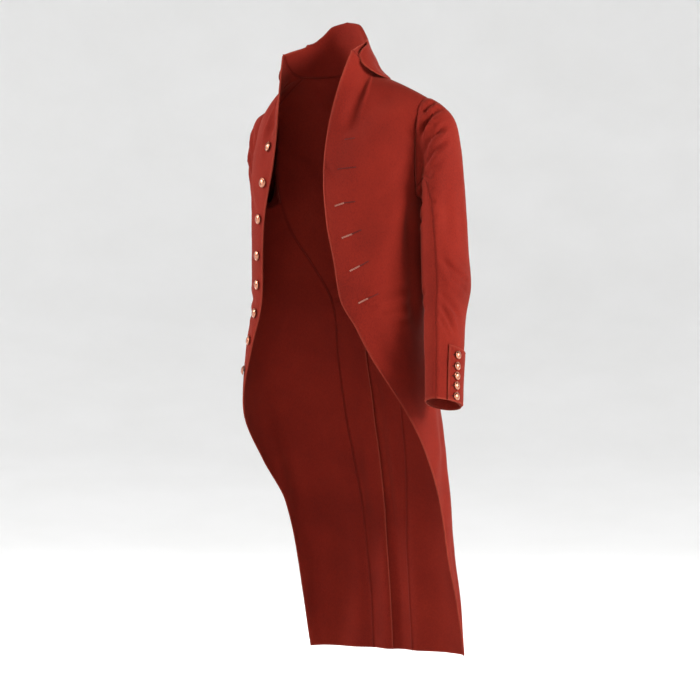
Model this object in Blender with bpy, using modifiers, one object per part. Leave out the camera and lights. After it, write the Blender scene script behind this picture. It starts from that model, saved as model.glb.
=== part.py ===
"""A cutaway tail coat with a high turned-down collar, hollow and shaped as it is worn.

The wearer faces -Y, the wearer's left is +X and up is +Z. The origin is at the base of the neck. The tables
are in millimetres and the meshes in metres. Each piece of cloth is an open sheet of points, worked out from
the tables, that a Solidify modifier makes into a wall.
"""

import math

import bpy
import numpy as np
from mathutils import Vector
from mathutils.bvhtree import BVHTree

MM = 0.001
SMALL = 0.1
SLOPE_STEP = 0.02
COLLECTION = "cutaway_tail_coat"

# Cloth and seams
WALL = 2.4
SEAM_GAP = 0.6
LAP_CLEARANCE = 0.9

# Rows and columns of each sheet, and the narrow ones beside seams, where a wall turns with its neighbour's
SKIRT_ROWS = 22
YOKE_ROWS = 8
FRONT_COLUMNS = 10
UNDERARM_COLUMNS = 4
BACK_COLUMNS = 7
SLEEVE_ROWS = 20
STAND_ROWS = 3
FOLD_ROWS = 4
FALL_ROWS = 6
NARROW = 0.03
SEAM_COLUMN = 0.06
ROW_SPREAD = 1.2
WELD_DISTANCE = 0.00005
BUTTON_STEPS = 10

# The body of the coat at each height: its middle, half its width, its depth before and behind the middle,
# and how square its plan is, from 2 for an oval
BODY_COLUMNS = ("height", "middle_x", "middle_y", "half_width", "front", "back", "squareness")
BODY_TABLE = [
    (-60, 8, 0, 172, 112, 108, 2.3),
    (-190, 8, 2, 169, 122, 112, 2.3),
    (-290, 4, 2, 165, 118, 104, 2.3),
    (-390, 2, 0, 163, 113, 97, 2.2),
    (-480, -4, 2, 173, 112, 112, 2.3),
    (-590, -1, 12, 184, 112, 126, 2.6),
    (-680, 2, 35, 176, 90, 122, 3.0),
    (-760, 2, 62, 166, 70, 112, 4.0),
    (-860, 1, 85, 162, 60, 104, 5.0),
    (-950, 0, 97, 166, 60, 106, 6.0),
    (-1040, 0, 103, 168, 60, 108, 6.0),
]
HEM = -1040

# Degrees round the body from the middle of the front, at each height: the two front edges and the side-back
# seam
EDGE_COLUMNS = ("height", "left_edge", "right_edge", "side_back")
EDGE_TABLE = [
    (-150, 15, 33, 103),
    (-190, 15, 38, 105),
    (-250, 18, 44, 112),
    (-322, 25, 47, 128),
    (-392, 32, 50, 144),
    (-445, 45, 54, 150),
    (-498, 55, 60, 152),
    (-538, 62, 66, 153),
    (-594, 71, 73, 154),
    (-680, 85, 86, 155),
    (-760, 97, 98, 156),
    (-867, 103, 104, 157),
    (-958, 110, 110, 158),
    (-1040, 116, 115, 158),
]

# The chest line, where the skirt's rows end and the yoke's begin. It dips under the arm.
CHEST_LINE = -182
UNDERARM_DIP = 36
DIP_HALF_ANGLE = 32
ARM_FRONT_ANGLE = 76
ARM_BACK_ANGLE = 105

YOKE_SWELL = 1.1
# How far the shoulder seam rises between its ends
SHOULDER_RISE = 3.0
# How far each edge of the shoulder seam stops short of the neck's corner, under the collar
SHOULDER_SEAM_EASE = 0.8
# How much the front's threads lean in towards the neck where the seam turns its corner
NECK_LEAN = 0.6
# The ways the cloth runs: over the shoulder seam from the front to the back, and up into the neck seam before
# and behind it, with how far round the neck each starts to turn from its own way to the shoulder's
OVER_SHOULDER = np.array([0.03, 0.95, -0.2])
FRONT_NECK_RUN = np.array([0.12, 0.42, 0.75])
BACK_NECK_RUN = np.array([0.0, -0.38, 0.85])
FRONT_TURNS_OVER = 0.35
BACK_TURNS_OVER = 0.3

# The neck seam round the neck: degrees from straight out at the side towards the back, distance from the
# neck's middle, and height
NECK_MIDDLE_Y = -26
NECK_COLUMNS = ("turn", "radius", "height")
NECK_TABLE = [
    (-32, 85, 49),
    (-15, 82, 32),
    (3, 80, 20),
    (22, 79, 15),
    (55, 80, 17),
    (90, 80, 22),
]
SHOULDER_NECK_TURN = 22
NECK_SHARE = 4 / FRONT_COLUMNS
BACK_NECK_SHARE = 3 / BACK_COLUMNS

# The collar's fold: it starts behind the neck seam's front corner and climbs to the back
FOLD_TABLE = [
    (20, 66, 72),
    (32, 66, 76),
    (46, 65, 88),
    (64, 63, 107),
    (90, 62, 114),
]
FOLD_START_TURN = 20
FOLD_RADIUS = 3.2
COLLAR_GAP = 0.8
STAND_HOLLOW = 2.5
FALL_HOLLOW = 0.12
# The fall's outer edge at each turn, and how far its front end reaches forward down its depth
FALL_EDGE_TABLE = [
    (-25, 110, 7),
    (5, 110, 7),
    (30, 109, 9),
    (60, 104, 6),
    (90, 98, 6),
]
FALL_FRONT_TABLE = [
    (0.0, 20),
    (0.12, 2),
    (0.25, -12),
    (0.42, -20),
    (0.58, -20),
    (0.74, -14),
    (0.88, -4),
    (1.0, 14),
]

# Each side's shoulder point, how far the sleeve stands off the armhole, the gap of its seams, and the sleeve's
# sections down the arm: the outer and inner ends of each, where its middle lies from front to back, half its
# depth, its tip forward in degrees, and how far the places round the armhole have turned to the arm's own
SLEEVE_COLUMNS = ("outer_x", "outer_z", "inner_x", "inner_z", "y", "half_depth", "tip", "turned")
SIDES = {
    "left": {
        "sign": 1,
        "edge": "left_edge",
        "shoulder": (180, 16, -36),
        "armhole_step": (0.8, 0.0, 0.0),
        "sleeve_gap": 1.2,
        "sleeve": [
            (204, -46, 182, -212, 9, 45, 0, 0.0),
            (226, -69, 183, -220, 9, 50, 0, 0.1),
            (235, -108, 183, -228, 8, 54, 0, 0.3),
            (241, -158, 182, -236, 7, 57, 0, 0.6),
            (246, -215, 180, -250, 6, 57, 0, 0.9),
            (252, -300, 179, -302, 6, 57, 3, 1.0),
            (257, -365, 179, -365, 7, 57, 6, 1.0),
            (251, -415, 187, -415, 0, 52, 10, 1.0),
            (257, -469, 195, -471, -16, 48, 14, 1.0),
            (262, -523, 205, -527, -32, 46, 15, 1.0),
            (268, -572, 212, -578, -46, 45, 14, 1.0),
        ],
    },
    "right": {
        "sign": -1,
        "edge": "right_edge",
        "shoulder": (164, 42, -42),
        "armhole_step": (-0.9, 0.6, 0.0),
        "sleeve_gap": 2.0,
        "sleeve": [
            (184, -50, 166, -212, 32, 42, -6, 0.0),
            (197, -74, 167, -220, 40, 46, -14, 0.1),
            (205, -112, 167, -228, 52, 50, -22, 0.25),
            (212, -164, 166, -238, 70, 53, -27, 0.5),
            (219, -224, 164, -254, 94, 55, -27, 0.8),
            (228, -300, 163, -304, 124, 55, -20, 1.0),
            (236, -366, 166, -366, 144, 54, -8, 1.0),
            (233, -415, 167, -415, 147, 51, 0, 1.0),
            (229, -470, 167, -470, 143, 48, 5, 1.0),
            (226, -525, 166, -525, 137, 46, 8, 1.0),
            (223, -575, 164, -575, 130, 45, 8, 1.0),
        ],
    },
}
# Round the armhole: 0 to 1 up its front, 1 to 2 down its back, 2 to 3 forward under the arm, and the angle
# each of these places has on the arm below, from 0 at the front through 90 outside and 180 behind
ARM_TURN_TABLE = [
    (-0.5, -90),
    (0.25, 15),
    (1.0, 84),
    (1.5, 130),
    (2.0, 200),
    (2.5, 270),
    (3.25, 375),
]
FRONT_SEAM = 0.25
HIND_SEAM = 1.5
ARMHOLE_SAMPLES = 361
# How far down the sleeve its first section counts, and the least that each later one does
FIRST_REACH = 24.0
LEAST_REACH = 16.0
# A small step round the armhole, over which a seam's direction is read
SEAM_STEP = 0.02

# The wrist flap: how far down the sleeve it starts, how far forward it laps and how far its own edge hides
FLAP_TOP = 0.79
FLAP_TURN = 53
CUFF_BUTTON_TURN = 77
FLAP_UNDERLAP = 5.5
FLAP_EASE = 0.03

# The centre-back vent: where it opens and is full, how wide it laps, how far above it the cloth starts to
# step out over the other tail, and the angles over which it does
VENT_TOP = -405
VENT_FULL = -455
VENT_LAP = 24
VENT_STEP = 60
VENT_STEP_ANGLE = 166
VENT_STEP_WIDTH = 10
# The tails' soft waves: the height they start from and how far down they grow, their depth, how many would go
# all round and where they start, and the angle from which they show
WAVE_START = -520
WAVE_GROWTH = 400
WAVE_DEPTH = 5.0
WAVES_ROUND = 11
WAVE_TURN = 0.4
WAVE_EDGE = 112
WAVE_FADE = 25

# Buttons: radius, height of the dome, and the stem under it
CUFF_BUTTON = (7.2, 4.2)
FRONT_BUTTON = (8.6, 4.8)
# A dome's outline from its top to its underside, in shares of the radius and the height
DOME = [(0, 1), (0.55, 0.84), (0.9, 0.42), (1, 0.12), (0.85, 0)]
STEM_RADIUS = 2.4
STEM_HEIGHT = 1.4
CUFF_BUTTON_HEIGHTS = (-489, -508, -525, -542, -560)
FRONT_BUTTON_HEIGHTS = (-118, -182, -246, -311, -363, -414, -463, -517)
FRONT_BUTTON_INSET = 18
# A button's seat is found from this far outside the cloth, and lies this far off it
SEAT_REACH = 12
SEAT_GAP = 0.6
# Points along the lines on which the buttons' heights are found
CUFF_SAMPLES = 60
YOKE_SAMPLES = 101

WOOL = (0.36, 0.035, 0.022, 1.0)
METAL = (0.62, 0.42, 0.30, 1.0)


def curve_through(table, column=1, key=0):
    """A smooth function through the table's values that never swings past them."""
    rows = sorted(table, key=lambda row: row[key])
    x = np.array([row[key] for row in rows], float)
    y = np.array([row[column] for row in rows], float)
    step = np.diff(x)
    rise = np.diff(y) / step
    slope = np.zeros(len(x))
    slope[0] = rise[0]
    slope[-1] = rise[-1]
    for i in range(1, len(x) - 1):
        if rise[i - 1] * rise[i] > 0:
            before = 2 * step[i] + step[i - 1]
            after = step[i] + 2 * step[i - 1]
            slope[i] = (before + after) / (before / rise[i - 1] + after / rise[i])

    def value(at):
        at = np.asarray(at, float)
        i = np.clip(np.searchsorted(x, at) - 1, 0, len(x) - 2)
        t = (at - x[i]) / step[i]
        start = (1 + 2 * t) * (1 - t) ** 2 * y[i] + t * (1 - t) ** 2 * step[i] * slope[i]
        end = t * t * (3 - 2 * t) * y[i + 1] + t * t * (t - 1) * step[i] * slope[i + 1]
        return start + end

    return value


def curves(columns, table):
    return {name: curve_through(table, i) for i, name in enumerate(columns) if i}


BODY = curves(BODY_COLUMNS, BODY_TABLE)
EDGE = curves(EDGE_COLUMNS, EDGE_TABLE)
NECK = curves(NECK_COLUMNS, NECK_TABLE)
FOLD = curves(NECK_COLUMNS, FOLD_TABLE)
FALL_EDGE = curves(NECK_COLUMNS, FALL_EDGE_TABLE)
FALL_FRONT = curve_through(FALL_FRONT_TABLE)
ARM_TURN = curve_through(ARM_TURN_TABLE)


def ease(value):
    """0 to 1 with a soft start and end."""
    t = np.clip(value, 0.0, 1.0)
    return t * t * (3 - 2 * t)


def mix(a, b, share):
    return a + (b - a) * share


def xyz(x, y, z):
    return np.stack(np.broadcast_arrays(x, y, z), -1).astype(float)


def unit(vectors):
    return vectors / np.maximum(np.linalg.norm(vectors, axis=-1, keepdims=True), 1e-9)


def body_point(angle, height, out=0.0):
    """The coat's face at an angle round it from the middle of the front, + to the wearer's left."""
    height = np.asarray(height, float)
    b = {name: curve(height) for name, curve in BODY.items()}
    turn = np.radians(angle)
    across = np.sin(turn)
    ahead = np.cos(turn)
    depth = np.where(ahead > 0, b["front"], b["back"])
    n = b["squareness"]
    radius = ((np.abs(across) / b["half_width"]) ** n + (np.abs(ahead) / depth) ** n) ** (-1 / n)
    waves = WAVE_DEPTH * ease((WAVE_START - height) / WAVE_GROWTH) * np.sin(turn * WAVES_ROUND + WAVE_TURN)
    waves = waves * ease((np.abs(angle) - WAVE_EDGE) / WAVE_FADE)
    radius = radius + out + waves
    return xyz(b["middle_x"] + radius * across, b["middle_y"] - radius * ahead, height)


def chest_line(angle):
    under = np.clip((np.abs(angle) - (ARM_FRONT_ANGLE + ARM_BACK_ANGLE) / 2) / DIP_HALF_ANGLE, -1, 1)
    return CHEST_LINE - UNDERARM_DIP * np.cos(under * math.pi / 2) ** 2


def neck_point(sign, turn, table=NECK, out=0.0, up=0.0):
    radius = table["radius"](turn) + out
    a = np.radians(turn)
    return xyz(sign * radius * np.cos(a), NECK_MIDDLE_Y + radius * np.sin(a), table["height"](turn) + up)


def hermite(start, end, leave, arrive, t):
    t = np.asarray(t)[..., None]
    a = (1 + 2 * t) * (1 - t) ** 2
    b = t * (1 - t) ** 2
    c = t * t * (3 - 2 * t)
    d = t * t * (t - 1)
    return a * start + b * leave + c * end + d * arrive


def gap_angle(height, gap):
    """Degrees that take up a gap along the body's face at a height."""
    return np.degrees(gap / np.maximum(BODY["half_width"](height), 1.0))


def shoulder_point(side, share, back=False):
    """From the neck seam out to the shoulder point along the seam, as the front or the back has it."""
    sign = side["sign"]
    start = neck_point(sign, SHOULDER_NECK_TURN)
    x, y, z = side["shoulder"]
    end = np.array([sign * x, y, z], float)
    share = np.asarray(share)
    point = mix(start, end, share[..., None])
    point[..., 2] += SHOULDER_RISE * np.sin(share * math.pi)
    gap = SEAM_GAP / 2 + SHOULDER_SEAM_EASE * (1 - share) ** 4
    point[..., 1] += gap if back else -gap
    return point


def yoke_column(skirt, side, column, top, arrive, t):
    """A curve from the skirt's top row up to the neck or shoulder seam, which leaves as the skirt runs."""
    base = skirt(side, column, np.ones_like(column))
    below = skirt(side, column, np.full_like(column, 1 - SLOPE_STEP))
    slope = (base - below) / np.maximum((base - below)[..., 2:], SMALL)
    reach = np.linalg.norm(top - base, axis=-1, keepdims=True)
    return hermite(base, top, slope * reach * YOKE_SWELL, arrive * reach, t)


def yoke_top(side, s, neck_share, middle_turn, back):
    """The neck seam as far as its share of the top, and then the shoulder seam out to the armhole."""
    turn = mix(middle_turn, SHOULDER_NECK_TURN, np.clip(s / neck_share, 0, 1))
    share = np.clip((s - neck_share) / (1 - neck_share), 0, 1)
    on_shoulder = shoulder_point(side, share, back)
    return np.where((s < neck_share - 1e-6)[..., None], neck_point(side["sign"], turn), on_shoulder)


def front_yoke(side, s, t):
    """The front above the chest line: s from the edge to the armhole, t from the chest line to the top."""
    s, t = np.broadcast_arrays(np.asarray(s, float), np.asarray(t, float))
    top = yoke_top(side, s, NECK_SHARE, NECK_TABLE[0][0], False)
    over = ease((s / NECK_SHARE - FRONT_TURNS_OVER) / (1 - FRONT_TURNS_OVER))[..., None]
    up = FRONT_NECK_RUN * np.array([side["sign"], 1, 1])
    across = OVER_SHOULDER * np.array([side["sign"], 1, 1])
    on_shoulder = np.clip((s - NECK_SHARE) / (1 - NECK_SHARE), 0, 1)
    lean = np.where(s < NECK_SHARE, ease(s / NECK_SHARE), (1 - on_shoulder) ** 2)
    out_along_seam = shoulder_point(side, np.array(1.0)) - shoulder_point(side, np.array(0.0))
    inward = -NECK_LEAN * lean[..., None] * unit(out_along_seam)
    return yoke_column(front_skirt, side, s, top, mix(up, across, over) + inward, t)


def back_yoke(side, s, t):
    """The back above the chest line: s from the middle of the back to the armhole."""
    s, t = np.broadcast_arrays(np.asarray(s, float), np.asarray(t, float))
    top = yoke_top(side, s, BACK_NECK_SHARE, 90.0, True)
    top[..., 0] += side["sign"] * SEAM_GAP / 2 * np.clip(1 - s / BACK_NECK_SHARE, 0, 1)
    over = ease((s / BACK_NECK_SHARE - BACK_TURNS_OVER) / (1 - BACK_TURNS_OVER))[..., None]
    across = OVER_SHOULDER * np.array([side["sign"], -1, -1])
    return yoke_column(back_skirt, side, s, top, mix(BACK_NECK_RUN, across, over), t)


def skirt_heights(junction_angle, v):
    return mix(float(HEM), chest_line(junction_angle), v)


def front_skirt(side, column, v):
    """The front below the chest line. column runs 0 to 1 from the front edge to the armhole's front, and
    1 to 2 from there to the side-back seam; v runs from the hem to the chest line."""
    sign = side["sign"]
    column, v = np.broadcast_arrays(column, v)
    edge_at_chest = float(EDGE[side["edge"]](CHEST_LINE))
    first = np.clip(column, 0, 1)
    second = np.clip(column - 1, 0, 1)
    junction = mix(mix(edge_at_chest, ARM_FRONT_ANGLE, first), ARM_BACK_ANGLE, second)
    height = skirt_heights(junction, v)
    start = EDGE[side["edge"]](height)
    end = EDGE["side_back"](height) - gap_angle(height, SEAM_GAP / 2)
    whole = (ARM_FRONT_ANGLE - edge_at_chest) / (ARM_BACK_ANGLE - edge_at_chest)
    share = np.where(column <= 1, first * whole, mix(whole, 1.0, second))
    return body_point(sign * mix(start, end, share), height)


def vent_lap(height):
    return ease((VENT_TOP - height) / (VENT_TOP - VENT_FULL))


def back_skirt(side, column, v):
    """The back below the chest line: column 0 at the middle of the back to 1 at the side-back seam. The left
    tail laps over the right one below the waist."""
    sign = side["sign"]
    column, v = np.broadcast_arrays(column, v)
    junction = mix(180.0, ARM_BACK_ANGLE, column)
    height = skirt_heights(junction, v)
    lap = vent_lap(height) if sign > 0 else 0.0
    stepped = vent_lap(height - VENT_STEP) if sign > 0 else 0.0
    spare = gap_angle(height, VENT_LAP) * lap
    start = 180.0 - gap_angle(height, SEAM_GAP / 2) + spare
    end = EDGE["side_back"](height) + gap_angle(height, SEAM_GAP / 2)
    angle = mix(start, end, column)
    out = (WALL + LAP_CLEARANCE) * stepped * ease((angle - VENT_STEP_ANGLE) / VENT_STEP_WIDTH)
    return body_point(sign * angle, height, out)


def armhole_point(side, q):
    """Round the armhole: 0 to 1 up its front, 1 to 2 down its back, 2 to 3 forward under the arm."""
    q = np.mod(np.asarray(q, float), 3.0)
    front = front_yoke(side, np.ones_like(q), np.clip(q, 0, 1))
    back = back_yoke(side, np.ones_like(q), np.clip(2 - q, 0, 1))
    under = front_skirt(side, 2 - np.clip(q - 2, 0, 1), np.ones_like(q))
    rise = (q <= 1)[..., None]
    fall = (q <= 2)[..., None]
    return np.where(rise, front, np.where(fall, back, under))


def armhole_turns(side):
    """The angle that each place round the armhole has about its middle, as two lists to read between."""
    q = np.linspace(-1.5, 4.5, ARMHOLE_SAMPLES)
    points = armhole_point(side, q)
    low = points.min(axis=0)
    high = points.max(axis=0)
    middle = (low + high) / 2
    half = (high - low) / 2
    turn = np.unwrap(np.arctan2((points[:, 2] - middle[2]) / half[2], (middle[1] - points[:, 1]) / half[1]))
    turn = np.degrees(turn)
    under = float(np.interp(2.5, q, turn))
    return q, turn + round((270.0 - under) / 360.0) * 360.0


def sleeve_sections(side, q):
    """The armhole and the sleeve's sections at the places q round it, as an array of sections by places."""
    sign = side["sign"]
    start = armhole_point(side, q) + np.array(side["armhole_step"])
    lap = np.floor((q + 0.5) / 3.0)
    arm_turn = ARM_TURN(q - 3 * lap) + 360.0 * lap
    armhole_turn = np.interp(q, *armhole_turns(side))
    sections = [start]
    for outer_x, outer_z, inner_x, inner_z, y, half_depth, tip, turned in side["sleeve"]:
        turn = np.radians(mix(armhole_turn, arm_turn, turned))[:, None]
        tip = math.radians(tip)
        outward = np.array([sign * (outer_x - inner_x), 0.0, outer_z - inner_z]) / 2
        forward = np.array([0.0, -math.cos(tip), math.sin(tip)]) * half_depth
        sections.append(section_middle(side, outer_x, outer_z, inner_x, inner_z, y)
                        + outward * np.sin(turn) + forward * np.cos(turn))
    return np.array(sections)


def section_middle(side, outer_x, outer_z, inner_x, inner_z, y):
    return np.array([side["sign"] * (outer_x + inner_x) / 2, y, (outer_z + inner_z) / 2], float)


def section_places(side):
    """How far down the sleeve, from 0 to 1, each section lies."""
    middles = [section_middle(side, *row[:5]) for row in side["sleeve"]]
    lengths = np.linalg.norm(np.diff(middles, axis=0), axis=1)
    steps = np.concatenate([[FIRST_REACH], np.maximum(lengths, LEAST_REACH)])
    reach = np.concatenate([[0.0], np.cumsum(steps)])
    return reach / reach[-1]


def sleeve_points(side, q, t):
    """The sleeve's face: places q round it by distances t down it, as an array of distances by places."""
    sections = sleeve_sections(side, q)
    knots = section_places(side)
    slopes = np.zeros_like(sections)
    for i in range(1, len(knots) - 1):
        slopes[i] = (sections[i + 1] - sections[i - 1]) / (knots[i + 1] - knots[i - 1])
    slopes[0] = (sections[1] - sections[0]) / (knots[1] - knots[0])
    slopes[-1] = (sections[-1] - sections[-2]) / (knots[-1] - knots[-2])
    rows = []
    for at in t:
        i = int(np.clip(np.searchsorted(knots, at) - 1, 0, len(knots) - 2))
        step = knots[i + 1] - knots[i]
        share = np.full(len(q), (at - knots[i]) / step)
        rows.append(hermite(sections[i], sections[i + 1], slopes[i] * step, slopes[i + 1] * step, share))
    return np.array(rows)


def collar_half(sign, turns, down):
    """Half of the collar. turns are the neck seam's; down runs 0 to 1 up the stand, 1 to 2 over the fold and
    2 to 3 down the fall. The face is the one that shows: the stand's inside and the fall's outside."""
    last = NECK_TABLE[-1][0]
    first = NECK_TABLE[0][0]
    rows = []
    for at in down:
        share = (turns - first) / (last - first)
        fold_turn = mix(FOLD_START_TURN, last, share)
        fold_in = neck_point(sign, fold_turn, FOLD, out=-FOLD_RADIUS, up=-FOLD_RADIUS)
        if at <= 1:
            seam = neck_point(sign, turns, out=-WALL, up=COLLAR_GAP)
            outward = unit(fold_in - np.array([0.0, NECK_MIDDLE_Y, 0.0])) * np.array([1, 1, 0])
            rows.append(mix(seam, fold_in, at) - outward * STAND_HOLLOW * math.sin(at * math.pi))
        elif at < 2:
            around = (at - 1) * math.pi
            out = -FOLD_RADIUS * math.cos(around)
            rows.append(neck_point(sign, fold_turn, FOLD, out=out, up=FOLD_RADIUS * (math.sin(around) - 1)))
        else:
            depth = at - 2
            front = float(FALL_FRONT(depth))
            turn = mix(front, last, share)
            held = np.maximum(turn, FOLD_START_TURN)
            top_radius = FOLD["radius"](held) + FOLD_RADIUS
            top_height = FOLD["height"](held) - FOLD_RADIUS
            spread = depth - FALL_HOLLOW * math.sin(depth * math.pi)
            radius = mix(top_radius, FALL_EDGE["radius"](turn), spread)
            height = mix(top_height, FALL_EDGE["height"](turn), depth)
            a = np.radians(turn)
            rows.append(xyz(sign * radius * np.cos(a), NECK_MIDDLE_Y + radius * np.sin(a), height))
    return np.array(rows)


def material(name, colour, roughness, metallic):
    made = bpy.data.materials.new(name)
    made.use_nodes = True
    shader = made.node_tree.nodes["Principled BSDF"]
    shader.inputs["Base Color"].default_value = colour
    shader.inputs["Roughness"].default_value = roughness
    shader.inputs["Metallic"].default_value = metallic
    made.diffuse_color = colour
    return made


def link(obj, finish, collection):
    obj.data.materials.append(finish)
    collection.objects.link(obj)
    return obj


def add_wall(obj):
    wall = obj.modifiers.new("wall", "SOLIDIFY")
    wall.thickness = WALL * MM
    wall.offset = -1.0
    return obj


def sheet(name, blocks, collection, finish):
    """One sheet from blocks of points, each an array of rows by columns, whose shared edges are welded."""
    points = []
    faces = []
    for block in blocks:
        rows, columns = block.shape[:2]
        start = len(points)
        points.extend(Vector(p) * MM for p in block.reshape(-1, 3))
        for i in range(rows - 1):
            for j in range(columns - 1):
                a = start + i * columns + j
                faces.append((a, a + 1, a + columns + 1, a + columns))
    mesh = bpy.data.meshes.new(name)
    mesh.from_pydata(points, [], faces)
    obj = link(bpy.data.objects.new(name, mesh), finish, collection)
    weld = obj.modifiers.new("seams", "WELD")
    weld.merge_threshold = WELD_DISTANCE
    mesh.shade_smooth()
    return add_wall(obj)


def facing(block, sign):
    """The block with its columns turned round on the right side, so that every sheet faces out."""
    return block if sign > 0 else block[:, ::-1]


def shares(count, start=0.0, end=1.0):
    return np.linspace(start, end, count + 1)


def with_narrow_end(values, narrow):
    """The values with one more just before the last, so that the wall turns with the cloth at a seam."""
    return np.concatenate([values[:-1], [values[-1] - narrow], values[-1:]])


def make_front(name, side, collection, finish):
    v = shares(SKIRT_ROWS)[:, None]
    columns = np.concatenate([shares(FRONT_COLUMNS), underarm_columns()[1:]])
    skirt = front_skirt(side, columns[None, :], v)
    yoke = front_yoke(side, shares(FRONT_COLUMNS)[None, :], yoke_rows()[:, None])
    return sheet(name, [facing(skirt, side["sign"]), facing(yoke, side["sign"])], collection, finish)


def make_back(name, side, collection, finish):
    v = shares(SKIRT_ROWS)[:, None]
    columns = back_columns()
    skirt = back_skirt(side, columns[None, :], v)
    yoke = back_yoke(side, columns[None, :], yoke_rows()[:, None])
    return sheet(name, [facing(skirt, -side["sign"]), facing(yoke, -side["sign"])], collection, finish)


def back_columns():
    return np.concatenate([[0.0, NARROW], with_narrow_end(shares(BACK_COLUMNS), NARROW)[1:]])


def yoke_rows():
    return with_narrow_end(shares(YOKE_ROWS), NARROW)


def sleeve_rows():
    """Distances down the sleeve, closer together over its head."""
    return shares(SLEEVE_ROWS) ** ROW_SPREAD


def underarm_columns():
    return 1 + with_narrow_end(shares(UNDERARM_COLUMNS), 2 * NARROW)


def armhole_places():
    """The places round the armhole where the body's sheets have their points."""
    return np.concatenate([yoke_rows(), 2 - yoke_rows()[-2::-1], 4 - underarm_columns()[-2::-1]])


def between(places, start, end):
    """The places from start to end round the armhole, both kept, running on past 3."""
    both = np.concatenate([places, places[1:] + 3])
    inside = both[(both > start + 1.4 * SEAM_COLUMN) & (both < end - 1.4 * SEAM_COLUMN)]
    return np.concatenate([[start, start + SEAM_COLUMN], inside, [end - SEAM_COLUMN, end]])


def seam_shift(side, q, towards, t):
    """The sleeve's face at a seam, moved straight away from the seam by half its gap."""
    here = sleeve_points(side, np.array([q]), t)[:, 0]
    near = sleeve_points(side, np.array([q + SEAM_STEP * towards]), t)[:, 0]
    along = unit(np.gradient(here, axis=0))
    away = near - here
    away -= along * np.sum(away * along, axis=1, keepdims=True)
    return here + unit(away) * side["sleeve_gap"] / 2


def sleeve_block(side, places, t):
    block = sleeve_points(side, places, t)
    block[:, 0] = seam_shift(side, places[0], 1, t)
    block[:, -1] = seam_shift(side, places[-1], -1, t)
    return block


def make_top_sleeve(name, side, collection, finish):
    t = sleeve_rows()
    places = between(armhole_places(), FRONT_SEAM, HIND_SEAM)
    block = sleeve_block(side, places, t)
    drawn_back = ease((t - FLAP_TOP + FLAP_EASE) / FLAP_EASE) * FLAP_UNDERLAP
    inward = unit(block[:, -3] - block[:, -1])
    block[:, -2:] += (inward * drawn_back[:, None])[:, None]
    return sheet(name, [facing(block, -side["sign"])], collection, finish)


def make_under_sleeve(name, side, collection, finish):
    t = sleeve_rows()
    places = between(armhole_places(), HIND_SEAM, FRONT_SEAM + 3)
    block = sleeve_block(side, places, t)
    first = int(np.searchsorted(t, FLAP_TOP))
    flap = flap_block(side, t[first:], block[first:, 0])
    return sheet(name, [facing(block, -side["sign"]), facing(flap, -side["sign"])], collection, finish)


def arm_place(angle):
    """The place round the armhole whose point on the lower arm lies at an angle."""
    q = np.linspace(FRONT_SEAM, 2.5, ARMHOLE_SAMPLES)
    return float(np.interp(angle, ARM_TURN(q), q))


def flap_block(side, t, seam_points):
    """The wrist flap, which runs forward from the hind seam over the top sleeve."""
    q = between(armhole_places(), arm_place(FLAP_TURN), HIND_SEAM)[:-1]
    return np.concatenate([lifted_sleeve(side, q, t), seam_points[:, None]], axis=1)


def lifted_sleeve(side, q, t):
    """The sleeve's face moved out by the wall that laps over it."""
    under = sleeve_points(side, q, t)
    middle = sleeve_points(side, armhole_places()[:-1], t).mean(axis=1, keepdims=True)
    return under + unit(under - middle) * (WALL + LAP_CLEARANCE)


def make_collar(name, collection, finish):
    front = shares(FRONT_COLUMNS)
    back = back_columns()
    front_turns = mix(NECK_TABLE[0][0], SHOULDER_NECK_TURN, front[front <= NECK_SHARE + 1e-6] / NECK_SHARE)
    back_turns = mix(90.0, SHOULDER_NECK_TURN, back[back <= BACK_NECK_SHARE + 1e-6] / BACK_NECK_SHARE)
    turns = np.concatenate([front_turns, back_turns[-2::-1]])
    down = np.concatenate([shares(STAND_ROWS), 1 + shares(FOLD_ROWS)[1:], 2 + shares(FALL_ROWS)[1:]])
    left = collar_half(1, turns, down)
    right = collar_half(-1, turns, down)[:, ::-1]
    whole = np.concatenate([left, right[:, 1:]], axis=1)
    return sheet(name, [whole[:, ::-1]], collection, finish)


def button_mesh(name, radius, dome):
    """A domed metal button on a short stem, turned round its own Z, with its seat at the origin."""
    profile = [(radius * across, STEM_HEIGHT + dome * up) for across, up in DOME] + [
        (STEM_RADIUS, STEM_HEIGHT),
        (STEM_RADIUS, 0.0),
        (0.0, 0.0),
    ]
    mesh = bpy.data.meshes.new(name)
    edges = [(i, i + 1) for i in range(len(profile) - 1)]
    mesh.from_pydata([(x * MM, 0.0, z * MM) for x, z in profile], edges, [])
    return mesh


def make_button(name, size, seat, normal, collection, finish):
    obj = link(bpy.data.objects.new(name, button_mesh(name, *size)), finish, collection)
    turned = obj.modifiers.new("turned", "SCREW")
    turned.steps = BUTTON_STEPS
    turned.render_steps = BUTTON_STEPS
    turned.use_merge_vertices = True
    turned.merge_threshold = 0.0001
    turned.use_normal_calculate = True
    obj.location = Vector(seat) * MM
    obj.rotation_euler = Vector(normal).to_track_quat("Z", "Y").to_euler()
    return obj


def seat_on_cloth(cloth, near, outward):
    """The place on the outside of a piece of cloth straight in from a point near it, and the way out."""
    tree = BVHTree.FromObject(cloth, bpy.context.evaluated_depsgraph_get())
    outward = Vector(outward).normalized()
    place, normal, _, _ = tree.ray_cast(Vector(near) * MM + outward * SEAT_REACH * MM, -outward)
    return np.array(place) / MM + np.array(normal) * SEAT_GAP, normal


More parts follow.
